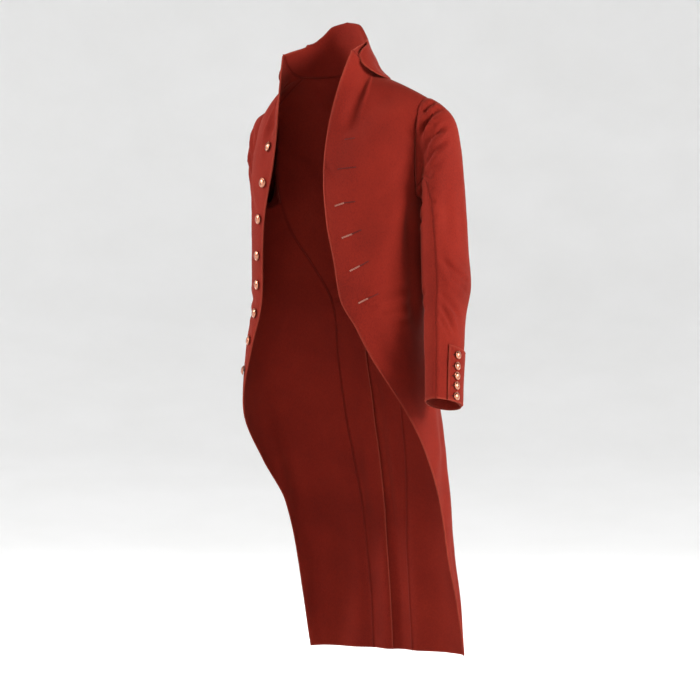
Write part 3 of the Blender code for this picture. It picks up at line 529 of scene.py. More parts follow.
# Creases: the places that each runs through, in mm, how wide it is, and its depth, below 0 for a trough
CREASES = {
    "left_front": [
        ([(128, -28, -20), (109, -66, -60), (92, -84, -86), (78, -100, -116)], 20, -4.4),
        ([(84, -60, 4), (69, -88, -40), (53, -104, -84)], 15, 2.6),
        ([(38, -118, -146), (52, -117, -166), (70, -115, -182)], 4.5, -1.8),
        ([(164, -34, -160), (150, -58, -237), (126, -84, -336), (106, -94, -408)], 26, 3.6),
        ([(170, -38, -205), (164, -26, -300), (159, -17, -400), (166, -10, -460)], 14, -5.0),
        ([(170, -36, -140), (150, -70, -196), (124, -92, -230)], 9, -1.5),
        ([(168, -34, -176), (146, -72, -222), (122, -92, -262)], 10, -1.0),
        ([(160, -20, -366), (136, -62, -382), (108, -86, -392)], 7, -2.2),
        ([(164, -8, -392), (140, -56, -408), (116, -80, -414)], 6, -1.8),
        ([(166, -4, -414), (150, -44, -430), (132, -66, -434)], 6, -1.3),
        ([(176, 40, -560), (171, 80, -700), (166, 110, -800)], 18, -3.2),
        ([(170, 0, -520), (176, 36, -610), (172, 70, -690)], 16, 2.2),
        ([(164, 130, -800), (160, 156, -900), (158, 170, -1010)], 14, -2.4),
        ([(96, -92, -420), (124, -66, -470), (150, -36, -510)], 12, -1.4),
    ],
    "right_front": [
        ([(-116, -40, -14), (-94, -75, -52), (-76, -96, -96)], 13, -4.0),
        ([(-168, -30, -205), (-164, -18, -300), (-160, -8, -400)], 13, -4.0),
        ([(-164, -40, -146), (-146, -72, -200), (-122, -96, -240)], 9, -2.2),
        ([(-160, -8, -370), (-146, -46, -386), (-120, -80, -396)], 7, -2.0),
        ([(-164, 0, -400), (-150, -40, -414), (-130, -68, -418)], 6, -1.5),
        ([(-176, 40, -560), (-171, 80, -700), (-166, 110, -800)], 18, -3.0),
        ([(-164, 130, -800), (-160, 156, -900), (-158, 170, -1010)], 14, -2.2),
    ],
    "left_back": [
        ([(156, 60, -96), (124, 98, -156), (84, 112, -226)], 14, -3.0),
        ([(150, 76, -150), (116, 104, -206), (88, 108, -262)], 12, -2.0),
        ([(10, 101, -356), (44, 97, -372), (70, 90, -366)], 7, -2.2),
        ([(8, 100, -386), (40, 97, -398), (66, 92, -390)], 6, -1.8),
        ([(84, 96, -250), (64, 100, -320), (46, 98, -380)], 14, 2.0),
        ([(30, 118, -500), (28, 150, -640), (24, 190, -840)], 11, -2.8),
    ],
    "right_back": [
        ([(-152, 64, -106), (-116, 100, -160), (-78, 112, -228)], 14, -3.0),
        ([(-146, 80, -160), (-114, 104, -212), (-86, 108, -262)], 12, -1.8),
        ([(-12, 101, -362), (-46, 97, -374), (-70, 90, -362)], 7, -2.0),
        ([(-10, 100, -392), (-38, 97, -400), (-64, 92, -392)], 6, -1.6),
        ([(-84, 96, -250), (-64, 100, -320), (-46, 98, -380)], 14, 1.8),
        ([(-32, 118, -500), (-29, 150, -640), (-25, 190, -840)], 11, -2.6),
    ],
    "left_top_sleeve": [
        ([(204, 6, -36), (196, -12, -46), (188, -28, -66)], 4.4, -5.0),
        ([(218, 4, -52), (206, -16, -62), (195, -29, -81), (189, -35, -104)], 4.6, -6.8),
        ([(220, -2, -66), (205, -24, -84), (192, -36, -116)], 4.2, 3.6),
        ([(236, -4, -84), (219, -29, -98), (203, -38, -118), (193, -39, -138)], 5.0, -6.6),
        ([(240, -16, -108), (222, -38, -126), (200, -42, -156)], 5.2, -4.6),
        ([(238, -30, -140), (222, -44, -158), (204, -46, -180)], 6.0, -1.8),
        ([(197, -40, -168), (208, -46, -174), (222, -46, -182)], 4.4, -3.2),
        ([(199, -44, -193), (210, -50, -198), (222, -50, -206)], 4.2, -2.6),
        ([(202, -46, -217), (214, -52, -221), (226, -50, -228)], 4.4, -3.0),
        ([(204, -49, -243), (216, -53, -246), (230, -49, -250)], 4.4, -2.2),
        ([(232, -48, -312), (240, -42, -326), (250, -26, -342), (255, -8, -354), (256, 18, -362)], 6, -4.2),
        ([(236, -44, -336), (248, -28, -356), (255, -10, -368), (256, 16, -376)], 5, -2.8),
        ([(228, -50, -374), (240, -40, -390), (250, -22, -408), (252, -2, -420)], 5.5, -2.6),
        ([(226, -52, -388), (238, -42, -407), (249, -34, -434), (254, -26, -456)], 5.5, -3.4),
        ([(230, -52, -414), (242, -46, -436), (250, -40, -460)], 5, -2.2),
        ([(250, 20, -130), (250, 22, -210), (253, 20, -290)], 16, 1.8),
        ([(244, -30, -160), (243, -32, -230), (245, -32, -300)], 11, -2.2),
    ],
    "left_under_sleeve": [
        ([(198, -40, -170), (192, -30, -178), (186, -12, -184)], 5, -3.0),
        ([(200, -44, -218), (193, -38, -224), (184, -16, -230)], 5, -2.8),
        ([(202, -48, -245), (194, -42, -252), (184, -18, -258)], 5, -2.2),
        ([(214, -50, -374), (198, -40, -384), (184, -14, -392)], 7, -1.6),
        ([(214, -52, -400), (200, -44, -408), (188, -20, -414)], 7, -1.3),
        ([(236, 54, -326), (216, 62, -344), (196, 52, -354)], 8, -2.4),
        ([(230, 54, -362), (212, 58, -378), (194, 44, -386)], 7, -2.0),
        ([(208, 62, -236), (198, 56, -250), (188, 40, -256)], 8, -1.6),
    ],
    "right_top_sleeve": [
        ([(-190, 8, -62), (-184, -10, -84), (-176, -24, -116)], 5.5, -4.0),
        ([(-202, 12, -88), (-192, -6, -114), (-180, -14, -146)], 5.5, -3.8),
        ([(-208, 16, -122), (-198, 0, -146), (-184, -8, -176)], 6.0, -2.4),
        ([(-232, 110, -326), (-226, 92, -346), (-208, 84, -360)], 6, -3.8),
        ([(-234, 124, -350), (-228, 102, -372), (-208, 92, -386)], 6, -3.8),
        ([(-232, 122, -384), (-224, 102, -402), (-204, 94, -412)], 6, -2.6),
        ([(-222, 60, -210), (-224, 80, -250), (-228, 100, -300)], 14, 1.8),
    ],
    "right_under_sleeve": [
        ([(-204, 84, -352), (-186, 88, -360), (-170, 108, -366)], 6, -3.4),
        ([(-202, 92, -382), (-184, 96, -388), (-170, 114, -392)], 6, -3.0),
        ([(-222, 178, -326), (-204, 190, -346), (-184, 190, -356)], 8, -2.2),
        ([(-214, 194, -368), (-196, 200, -384), (-178, 190, -392)], 7, -1.8),
    ],
    "collar": [
        ([(98, -26, 26), (104, 10, 30), (90, 50, 40)], 12, -2.2),
        ([(-98, -26, 26), (-104, 10, 30), (-90, 50, 40)], 12, -2.0),
        ([(30, 60, 66), (0, 62, 62), (-32, 60, 68)], 12, -1.6),
    ],
}
# A crease's points lie this far apart and are looked for this far round it. It fades in and out over a share
# of its length, its depth varies along it, and a lower swell runs beside it, so many of its widths away.
CREASE_STEP = 6.0
CREASE_SEARCH = 30.0
CREASE_FADES = (0.3, 0.22)
CREASE_UNEVEN = 0.28
SWELL_SHARE = 0.42
SWELL_PLACE = 1.9
SWELL_WIDTH = 1.1
# How deep the cloth's own unevenness is, and how much of it and of a crease is left at a seam or an edge,
# with how far from it they are whole again
UNDULATION = 0.55
CREASE_HELD = (0.45, 7.0)
UNDULATION_HELD = (0.3, 14.0)


def on_cloth(points, line):
    """A crease's line laid onto the nearest points of the cloth and smoothed."""
    line = np.array(line, float)
    length = reach_along(line)[-1]
    places = places_along(line, np.linspace(0, length, max(int(length / CREASE_STEP), 4)))
    middle = (line.min(axis=0) + line.max(axis=0)) / 2
    near = points[np.linalg.norm(points - middle, axis=1) < length + CREASE_SEARCH]
    places = np.array([near[np.argmin(np.linalg.norm(near - place, axis=1))] for place in places])
    for _ in range(2):
        places[1:-1] = (places[:-2] + 2 * places[1:-1] + places[2:]) / 4
    return places


def crease_relief(points, creases):
    """How far the creases move each point out of the cloth's face."""
    relief = np.zeros(points.shape[:-1])
    for number, (line, width, depth) in enumerate(creases):
        line = on_cloth(points, line)
        lengths = np.maximum(np.linalg.norm(np.diff(line, axis=0), axis=1), SMALL)
        reach = np.concatenate([[0.0], np.cumsum(lengths)])
        nearest = np.full(relief.shape, np.inf)
        along = np.zeros(relief.shape)
        for a, b, start, length in zip(line, line[1:], reach, lengths):
            share = np.clip(((points - a) @ (b - a)) / length**2, 0, 1)
            away = np.linalg.norm(points - (a + share[..., None] * (b - a)), axis=-1)
            closer = away < nearest
            nearest = np.where(closer, away, nearest)
            along = np.where(closer, (start + share * length) / reach[-1], along)
        fade = ease(along / CREASE_FADES[0]) * ease((1 - along) / CREASE_FADES[1])
        uneven = 1 + CREASE_UNEVEN * np.sin(along * 9.0 + number * 1.7)
        swell = SWELL_SHARE * bell(nearest - SWELL_PLACE * width, SWELL_WIDTH * width)
        relief += depth * (bell(nearest, width) - swell) * fade * uneven
    return relief


def undulation(points):
    """The cloth's own slight unevenness, from a few slow waves across each other."""
    x, y, z = points[..., 0], points[..., 1], points[..., 2]
    slow = np.sin(x / 23 + z / 61 + 1.3) * np.sin(y / 27 - z / 47 + 0.4)
    quick = np.sin(x / 11 - y / 14 + z / 29) * np.sin(z / 17 + y / 21 + 2.1)
    return UNDULATION * (slow + 0.35 * quick)


def edge_relief(away):
    """A turned and pressed free edge: round at the rim, full behind it, drawn in at its row of stitches."""
    return -0.8 * bell(away, 1.3) + 0.3 * bell(away - 2.8, 1.8) - 0.34 * bell(away - 5.0, 0.8)


def seam_relief(away):
    """A sewn and pressed-open seam: drawn in at the stitches and full over the turnings beside it."""
    return -1.15 * bell(away, 1.5) + 0.28 * bell(away - 6.0, 4.0)


def held_back(near, held):
    """The share of a relief that is left near seams and edges."""
    least, reach = held
    return mix(least, 1.0, ease(near / reach))


def lines_between(length, fine_start=True, fine_end=True, spacing=SPACING):
    """Places from 0 to 1 along a length in mm, close together at the ends that are edges."""
    start = EDGE_LINES if fine_start else EDGE_LINES[:1]
    end = EDGE_LINES if fine_end else EDGE_LINES[:1]
    room = length - start[-1] - end[-1]
    count = max(int(room / spacing), 2)
    inner = start[-1] + np.linspace(0, room, count + 1)[1:-1]
    return np.concatenate([start, inner, length - end[::-1]]) / length


def arc_from_start(points, axis):
    """The length along the rows or columns of a block of points, from its first line."""
    steps = np.linalg.norm(np.diff(points, axis=axis), axis=-1)
    total = np.cumsum(steps, axis=axis)
    shape = list(total.shape)
    shape[axis] = 1
    return np.concatenate([np.zeros(shape), total], axis=axis)


def arc_from_end(points, axis):
    return np.flip(arc_from_start(np.flip(points, axis), axis), axis)


# Further than any point of the cloth is from an edge or a seam
FAR = 999.0


class Block:
    """A block of points, rows by columns, with how far each lies from a free edge and from a seam."""

    def __init__(self, points, free=(), sewn=(), offset=(0.0, 0.0)):
        self.points = points
        far = np.full(points.shape[:2], FAR)
        ends = {
            "first_row": lambda: arc_from_start(points, 0),
            "last_row": lambda: arc_from_end(points, 0),
            "first_column": lambda: arc_from_start(points, 1),
            "last_column": lambda: arc_from_end(points, 1),
        }
        self.edge = np.minimum.reduce([far] + [ends[name]() for name in free])
        self.seam = np.minimum.reduce([far] + [ends[name]() for name in sewn])
        self.raised = np.zeros(points.shape[:2])
        middle_row = points.shape[0] // 2
        middle_column = points.shape[1] // 2
        across = arc_from_start(points, 1)[middle_row]
        up = arc_from_start(points, 0)[:, middle_column]
        self.flat = np.stack(np.meshgrid(across + offset[0], up + offset[1]), -1)


def welded(blocks):
    """The blocks' points and faces, with the first of each set of shared points and where each point goes."""
    points = np.concatenate([block.points.reshape(-1, 3) for block in blocks])
    faces = []
    start = 0
    for block in blocks:
        rows, columns = block.points.shape[:2]
        index = start + np.arange(rows * columns).reshape(rows, columns)
        corners = [index[:-1, :-1], index[:-1, 1:], index[1:, 1:], index[1:, :-1]]
        faces.append(np.stack(corners, -1).reshape(-1, 4))
        start += rows * columns
    corners = np.concatenate(faces)
    _, first, inverse = np.unique(np.round(points, 2), axis=0, return_index=True, return_inverse=True)
    return points, corners, first, inverse.reshape(-1)


def face_normals(points, faces):
    """Unit normals at each point, from the faces round it."""
    a, b, c, d = (points[faces[:, i]] for i in range(4))
    across = np.cross(c - a, d - b)
    normals = np.zeros_like(points)
    for i in range(4):
        np.add.at(normals, faces[:, i], across)
    return unit(normals)


# How far from edges the wool is paled by wear and a painted highlight, and from seams darkened by painted
# shade; and the angle from which corners are sharp
EDGE_WEAR_AND_HIGHLIGHT_WIDTH = 2.6
SEAM_SHADE_WIDTH = 2.2
SHARP = math.radians(50)


def cloth(name, blocks, outward, finish, creases):
    """One sheet of cloth: its blocks joined, with its relief worked in and a thin wall behind its face."""
    points, corners, first, inverse = welded(blocks)
    faces = inverse[corners]
    keep = np.array([len(set(face)) == 4 for face in faces.tolist()])
    faces = faces[keep]
    joined = points[first]
    if not outward:
        faces = faces[:, ::-1]
    normals = face_normals(joined, faces)
    edge = np.full(len(joined), FAR)
    seam = np.full(len(joined), FAR)
    raised = np.zeros(len(joined))
    np.minimum.at(edge, inverse, np.concatenate([block.edge.ravel() for block in blocks]))
    np.minimum.at(seam, inverse, np.concatenate([block.seam.ravel() for block in blocks]))
    np.maximum.at(raised, inverse, np.concatenate([block.raised.ravel() for block in blocks]))
    near = np.minimum(seam, edge)
    relief = crease_relief(joined, creases) * held_back(near, CREASE_HELD)
    relief += undulation(joined) * held_back(near, UNDULATION_HELD)
    relief += edge_relief(edge) + seam_relief(seam) + raised
    moved = joined + normals * relief[:, None]
    mesh = bpy.data.meshes.new(name)
    mesh.from_pydata((moved * MM).tolist(), [], faces.tolist())
    flat = np.concatenate([block.flat.reshape(-1, 2) for block in blocks])
    loops = corners[keep]
    if not outward:
        loops = loops[:, ::-1]
    layer = mesh.uv_layers.new(name="cut")
    layer.data.foreach_set("uv", (flat[loops.ravel()] * MM).ravel().astype(np.float32))
    # Masks for the wool's edges, paled by wear and a painted highlight, and for its seams, darkened by
    # painted shade
    for label, values in (("edge_near", bell(edge, EDGE_WEAR_AND_HIGHLIGHT_WIDTH)), ("seam_near", bell(seam, SEAM_SHADE_WIDTH))):
        attribute = mesh.attributes.new(label, "FLOAT", "POINT")
        attribute.data.foreach_set("value", values.astype(np.float32))
    obj = link(bpy.data.objects.new(name, mesh), finish)
    wall = obj.modifiers.new("wall", "SOLIDIFY")
    wall.thickness = CLOTH * MM
    wall.offset = -1.0
    mesh.shade_smooth()
    mesh.set_sharp_from_angle(angle=SHARP)
    return obj


def link(obj, finish):
    obj.data.materials.append(finish)
    bpy.context.scene.collection.objects.link(obj)
    return obj


def fine_columns(count_length, widths, last_fine):
    """Columns for each row: fixed distances in from the first edge, and evenly spread from there on."""
    even = lines_between(count_length, True, last_fine)
    fixed = len(EDGE_LINES)
    first = EDGE_LINES[None, :] / widths[:, None]
    rest = mix(first[:, -1:], 1.0, ((even[fixed:] - even[fixed - 1]) / (1 - even[fixed - 1]))[None, :])
    return np.concatenate([first, rest], axis=1)


def row_widths(sheet, side, last, rows):
    """How wide a sheet of the body is at each row, from its first column to its last."""
    line = sheet(side, np.linspace(0, last, 25)[None, :], rows[:, None])
    return arc_from_start(line, 1)[:, -1]


# About how wide and high each sheet is, which sets how many columns and rows it gets
FRONT_WIDTH = 170.0
UNDERARM_WIDTH = 90.0
BACK_WIDTH = 110.0
YOKE_HEIGHT = 215.0
SLEEVE_LENGTH = 560.0
SLEEVE_PLACE_WIDTH = 88.0
COLLAR_LENGTH = 215.0
FALL_DEPTH = 74.0
COLLAR_SPACING = 2.6
STAND_ROWS = 20
FOLD_ROWS = 11


def front_blocks(side):
    rows = lines_between(CHEST_LINE - HEM, True, False)
    widths = row_widths(front_skirt, side, 1.0, rows)
    columns = fine_columns(FRONT_WIDTH, widths, False)
    under = 1 + lines_between(UNDERARM_WIDTH, False, True)[1:]
    whole = np.concatenate([columns, np.broadcast_to(under, (len(rows), len(under)))], axis=1)
    skirt = Block(front_skirt(side, whole, rows[:, None]), ["first_row", "first_column"], ["last_column"])
    beyond = slice(columns.shape[1] - 1, None)
    armhole = arc_from_end(skirt.points, 0)
    skirt.seam[:, beyond] = np.minimum(skirt.seam[:, beyond], armhole[:, beyond])
    top_rows = lines_between(YOKE_HEIGHT, False, True)
    yoke_columns = columns[-1][None, :]
    points = front_yoke(side, yoke_columns, top_rows[:, None])
    height = float(skirt.flat[-1, 0, 1])
    yoke = Block(points, ["first_column"], ["last_row", "last_column"], (0.0, height))
    return [skirt, yoke]


def back_blocks(side):
    rows = lines_between(CHEST_LINE - HEM, True, False)
    columns = lines_between(BACK_WIDTH, True, True)[None, :]
    skirt = Block(back_skirt(side, columns, rows[:, None]), ["first_row"], ["last_column"])
    middle = arc_from_start(skirt.points, 1)
    vented = (skirt.points[:, :1, 2] < VENT_TOP)
    skirt.edge = np.where(vented, np.minimum(skirt.edge, middle), skirt.edge)
    skirt.seam = np.where(vented, skirt.seam, np.minimum(skirt.seam, middle))
    top_rows = lines_between(YOKE_HEIGHT, False, True)
    points = back_yoke(side, columns, top_rows[:, None])
    height = float(skirt.flat[-1, 0, 1])
    return [skirt, Block(points, [], ["last_row", "first_column", "last_column"], (0.0, height))]


def seam_shift(points, column, towards):
    """The block's edge column moved away from the seam by half the gap of sewn edges."""
    away = unit(points[:, column + towards] - points[:, column])
    points[:, column] += away * SEWN_GAP / 2


# The sleeve's head: how far its top is tucked into the armhole, the place where the front seam starts, the
# share of the sleeve's length over which it comes to its own place, and how far round the cloth follows it
SLEEVE_TUCK = 2.6
SEAM_START = 0.06
SEAM_START_ROWS = 0.2
SEAM_START_REACH = 60.0
# How far the cloth swells below the armhole seam and where, and how far it bends out at the front seam
SLEEVE_HEAD_FULLNESS = 1.3
HEAD_PLACE = 9.0
HEAD_WIDTH = 7.0
FRONT_SEAM_BEND = 2.6
BEND_WIDTH = 8.0
BEND_GROWTH = 60.0
UNDERLAP_WIDTH = 9.0


def seam_start(side, seam, rows):
    """The front seam's line, which leaves the armhole lower than its place further down."""
    places = mix(SEAM_START, seam, ease(rows / SEAM_START_ROWS))
    block = sleeve_points(side, places, rows)
    return block[np.arange(len(rows)), np.arange(len(rows))]


def sleeve_block(side, start, end):
    """A piece of sleeve from one seam to the other, with its rows."""
    rows = lines_between(SLEEVE_LENGTH, True, True)
    columns = mix(start, end, lines_between(SLEEVE_PLACE_WIDTH * (end - start), True, True))
    points = sleeve_points(side, columns, rows)
    tuck = unit(points[0] - points[2]) * SLEEVE_TUCK
    points[0] += tuck
    points[1] += tuck * 0.5
    front, arc_from_front = (0, arc_from_start) if start < 1 else (-1, arc_from_end)
    lowered = seam_start(side, FRONT_SEAM, rows)
    lowered[0] += tuck[front]
    shift = (lowered - points[:, front])[:, None]
    reach = arc_from_front(points, 1)
    points += shift * (1 - ease(reach / SEAM_START_REACH))[..., None]
    seam_shift(points, 0, 1)
    seam_shift(points, -1, -1)
    block = Block(points, ["last_row"], ["first_row", "first_column", "last_column"])
    below = arc_from_start(points, 0)
    block.raised += SLEEVE_HEAD_FULLNESS * bell(below - HEAD_PLACE, HEAD_WIDTH)
    bend = arc_from_front(points, 1)
    block.raised += FRONT_SEAM_BEND * bell(bend, BEND_WIDTH) * ease(below / BEND_GROWTH)
    return block, rows


def top_sleeve_blocks(side):
    block, rows = sleeve_block(side, FRONT_SEAM, HIND_SEAM)
    points = block.points
    drawn_back = ease((rows - FLAP_TOP + FLAP_EASE) / FLAP_EASE) * FLAP_UNDERLAP
    inward = unit(points[:, -len(EDGE_LINES) - 1] - points[:, -1])
    near_seam = bell(arc_from_end(points, 1), UNDERLAP_WIDTH)
    points += inward[:, None] * drawn_back[:, None, None] * near_seam[..., None]
    return [block]


def lifted_sleeve(side, q, t, lift):
    """The sleeve's face moved straight out."""
    under = sleeve_points(side, q, t)
    middle = sleeve_points(side, np.linspace(0, 3, 24, endpoint=False), t).mean(axis=1, keepdims=True)
    return under + unit(under - middle) * lift[..., None]


def flap_block(side, edge_column, rows):
    """The wrist flap, which runs forward from the hind seam over the top sleeve."""
    flap_rows = np.concatenate([[FLAP_TOP], FLAP_TOP + EDGE_LINES[1:] / SLEEVE_LENGTH])
    flap_rows = np.concatenate([flap_rows, rows[rows > flap_rows[-1] + 0.003]])
    columns = mix(arm_place(FLAP_TURN), HIND_SEAM, lines_between(FLAP_WIDTH, True, False))
    flat = sleeve_points(side, columns, flap_rows)
    rise = ease(arc_from_end(flat, 1) / FLAP_RISE)
    points = lifted_sleeve(side, columns, flap_rows, LAP_STEP * rise)
    seam = np.stack([np.interp(flap_rows, rows, edge_column[:, i]) for i in range(3)], -1)
    points[:, -1] = seam
    return Block(points, ["first_row", "last_row", "first_column"], ["last_column"], (-60.0, 0.0))


def under_sleeve_blocks(side):
    block, rows = sleeve_block(side, HIND_SEAM, FRONT_SEAM + 3)
    return [block, flap_block(side, block.points[:, 0], rows)]


def collar_blocks():
    across = lines_between(COLLAR_LENGTH, True, False, COLLAR_SPACING)
    turns = mix(NECK_TABLE[0][0], NECK_TABLE[-1][0], across)
    stand = np.linspace(0, 1, STAND_ROWS)
    over = 1 + np.linspace(0, 1, FOLD_ROWS)[1:]
    fall = 2 + lines_between(FALL_DEPTH, False, True, COLLAR_SPACING)[1:]
    down = np.concatenate([stand, over, fall])
    left = collar_half(1, turns, down)
    right = collar_half(-1, turns, down)[:, ::-1]
    whole = np.concatenate([left, right[:, 1:]], axis=1)
    return [Block(whole, ["last_row", "first_column", "last_column"], ["first_row"])]


class Wire:
    """A socket in a material, so that sums of sockets and numbers can be written as sums."""

    def __init__(self, material, socket):
        self.material = material
        self.socket = socket

    def maths(self, operation, *values):
        sockets = dict(enumerate(values))
        return self.material.node("Math", {"operation": operation}, sockets)

    def __add__(self, other):
        return self.maths("ADD", self, other)

    def __radd__(self, other):
        return self.maths("ADD", other, self)

    def __mul__(self, other):
        return self.maths("MULTIPLY", self, other)

    def sine(self):
        return self.maths("SINE", self)

    def clamped(self):
        return self.maths("MINIMUM", self.maths("MAXIMUM", self, 0.0), 1.0)


class Finish:
    """A material, with one way to add any node to it."""

    def __init__(self, name, **constants):
        self.made = bpy.data.materials.new(name)
        self.made.use_nodes = True
        self.tree = self.made.node_tree
        self.shader = self.tree.nodes["Principled BSDF"]
        for socket, value in constants.items():
            self.shader.inputs[socket.replace("_", " ")].default_value = value

    def plug(self, socket, value):
        if isinstance(value, Wire):
            self.tree.links.new(value.socket, socket)
        else:
            socket.default_value = value

    def node(self, kind, settings=None, sockets=None, out=0):
        made = self.tree.nodes.new("ShaderNode" + kind)
        for name, value in (settings or {}).items():
            if name == "stops":
                self.set_stops(made.color_ramp, value)
            else:
                setattr(made, name, value)
        for name, value in (sockets or {}).items():
            self.plug(made.inputs[name], value)
        return Wire(self, made.outputs[out])

    def set_stops(self, ramp, stops):
        while len(ramp.elements) < len(stops):
            ramp.elements.new(0.5)
        for element, (position, colour) in zip(ramp.elements, stops):
            element.position = position
            element.color = colour

    def place(self):
        return self.node("TexCoord", out=3)

    def cut(self):
        """The two threads' directions in the flat cloth, in metres."""
        flat = self.node("UVMap", {"uv_map": "cut"})
        apart = {"Vector": flat}
        return [self.node("SeparateXYZ", sockets=apart, out=i) for i in range(2)]

    def noise(self, scale, detail=3.0, roughness=0.55, stretch=None):
        where = self.place()
        if stretch:
            where = self.node("Mapping", sockets={"Vector": where, "Scale": stretch})
        sockets = {"Vector": where, "Scale": scale, "Detail": detail, "Roughness": roughness}
        return self.node("TexNoise", sockets=sockets)

    def attribute(self, name):
        return self.node("Attribute", {"attribute_name": name}, out=2)

    def ramp(self, value, stops):
        return self.node("ValToRGB", {"stops": stops}, {"Fac": value})

    def blended(self, a, b, share, blend="MIX"):
        settings = {"data_type": "RGBA", "blend_type": blend}
        return self.node("Mix", settings, {0: share, 6: a, 7: b}, out=2)

    def bump(self, height, strength, distance):
        return self.node("Bump", sockets={"Height": height, "Strength": strength, "Distance": distance})

    def set(self, **wires):
        for socket, value in wires.items():
            self.plug(self.shader.inputs[socket.replace("_", " ")], value)
        return self.made


RED_DEEP = (0.096, 0.0058, 0.0030, 1.0)
RED = (0.148, 0.0096, 0.0048, 1.0)
RED_BRIGHT = (0.194, 0.0146, 0.0070, 1.0)
# A paler red for the edges: partly wear, partly a painted highlight on their rounded rims
RED_WORN_HIGHLIT_EDGE = (0.300, 0.0520, 0.0300, 1.0)
SPECK_DARK = (0.80, 0.72, 0.70, 1)
SPECK_LIGHT = (1.16, 1.20, 1.20, 1)
THREAD_PITCH = 0.0008


def wool():
    """Milled broadcloth: a faint weave under a short soft nap, brushed down the coat."""
    finish = Finish("red_broadcloth", Sheen_Weight=0.11, Sheen_Roughness=0.45, Specular_IOR_Level=0.09)
    finish.set(Sheen_Tint=(1.0, 0.26, 0.17, 1.0))
    shade = finish.noise(7.0, 4.0)
    nap = finish.noise(520.0, 3.0, 0.6, (1.0, 1.0, 0.55))
    fibre = finish.noise(1500.0, 2.0, 0.7, (1.0, 1.0, 0.35))
    tone = finish.ramp(shade, [(0.14, RED_DEEP), (0.52, RED), (0.90, RED_BRIGHT)])
    speck = finish.ramp(nap * 0.6 + fibre * 0.4, [(0.36, SPECK_DARK), (0.62, SPECK_LIGHT)])
    colour = finish.blended(tone, speck, 1.0, "MULTIPLY")
    # Edges paled in patches, partly by wear and partly as a painted highlight
    edge_wear_and_highlight = (finish.attribute("edge_near") * (0.45 + shade * 0.6)).clamped()
    colour = finish.blended(colour, RED_WORN_HIGHLIT_EDGE, edge_wear_and_highlight * 0.42)
    # Painted shade: the wool darkened along its seams, where their grooves hold shade
    colour = finish.blended(colour, RED_DEEP, finish.attribute("seam_near") * 0.55)
    across, along = finish.cut()
    turn = 2 * math.pi / THREAD_PITCH
    weave = (across * turn).sine() * (along * turn).sine()
    height = weave * 0.10 + nap * 0.75 + fibre * 0.35
    felted = finish.bump(height, 0.34, 0.0007)
    rough = 0.80 + nap * 0.16
    return finish.set(Base_Color=colour, Roughness=rough.clamped(), Normal=felted)


def gilt():
    """Thin gilding on domed buttons, rubbed and a little scratched, its colour tinted coppery red as a
    painted reflection of the red cloth round it.
    """
    finish = Finish("gilt_metal", Coat_Weight=0.15)
    patches = finish.noise(190.0, 4.0)
    fine = finish.noise(1900.0, 2.0, 0.6)
    # Painted reflection: the gilt's colours lean to the red of the cloth; the dark patches are rubbed gilding
    stops = [(0.34, (0.22, 0.07, 0.04, 1)), (0.54, (0.52, 0.21, 0.13, 1)), (0.8, (0.72, 0.38, 0.25, 1))]
    colour = finish.ramp(patches, stops)
    rough = 0.24 + patches * 0.22
    scratched = finish.bump(fine * 0.5 + patches, 0.10, 0.0004)
    return finish.set(Base_Color=colour, Metallic=1.0, Roughness=rough, Normal=scratched)


def thread(name, low, high, sheen):
    """Twisted silk or linen thread, whose finish also paints the highlight on buttonholes' front stitches and
    the shade in their slits.
    """
    finish = Finish(name, Sheen_Weight=sheen, Specular_IOR_Level=0.15)
    ply = finish.noise(1700.0, 2.0, 0.5, (1.0, 1.0, 2.0))
    colour = finish.ramp(ply, [(0.3, low), (0.7, high)])
    return finish.set(Base_Color=colour, Roughness=0.42 + ply * 0.2, Normal=finish.bump(ply, 0.5, 0.0004))


def plaster():
    """The pale floor."""
    finish = Finish("pale_floor")
    cloud = finish.noise(1.7, 3.0)
    colour = finish.ramp(cloud, [(0.2, (0.86, 0.86, 0.855, 1)), (0.8, (0.90, 0.90, 0.90, 1))])
    return finish.set(Base_Color=colour, Roughness=0.9)


WOOL = wool()
GILT = gilt()
RED_THREAD = thread("red_silk_thread", (0.050, 0.004, 0.003, 1), (0.105, 0.010, 0.007, 1), 0.0)
# Painted highlight: a paler thread colour for the buttonholes' front stitches, where they catch the light
HIGHLIT_THREAD = thread("silk_twist_painted_highlight", (0.24, 0.080, 0.056, 1), (0.42, 0.19, 0.14, 1), 0.1)
# Painted shade: a near-black strip stands for the shade inside each buttonhole's slit
SLIT_SHADE = thread("slit_painted_shade", (0.05, 0.006, 0.005, 1), (0.09, 0.010, 0.008, 1), 0.0)


def dress_cloth():
    """Every piece of cloth on its solid."""
    made = {}
    for name, side in SIDES.items():
        out = side["sign"] > 0
        made[f"{name}_front"] = (front_blocks(side), out)
        made[f"{name}_back"] = (back_blocks(side), not out)
        made[f"{name}_top_sleeve"] = (top_sleeve_blocks(side), not out)
        made[f"{name}_under_sleeve"] = (under_sleeve_blocks(side), not out)
    made["collar"] = (collar_blocks(), False)
    pieces = {}
    for node, (blocks, outward) in made.items():
        piece = cloth(f"{node}_cloth", blocks, outward, WOOL, CREASES[node])
        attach(piece, "root")
        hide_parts(node)
        pieces[node] = piece
    return pieces


PIECES = dress_cloth()


def trimming(obj, *nodes, slot="wool"):
    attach(obj, "root")
    if nodes:
        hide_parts(*nodes)
    return obj


# Buttons: a dome with a rolled rim, as shares of the radius and of the dome's height
BUTTON_DOME = [
    (0.0, 1.0), (0.16, 0.99), (0.32, 0.95), (0.48, 0.88), (0.62, 0.78), (0.74, 0.66), (0.84, 0.52),
    (0.90, 0.43), (0.925, 0.40), (0.95, 0.415), (0.98, 0.38), (1.0, 0.26), (0.985, 0.12), (0.94, 0.03),
    (0.86, 0.0), (0.70, 0.02), (0.5, 0.05), (0.26, 0.05),
]
BUTTON_SEGMENTS = 56
STEM_HEIGHT = 1.4
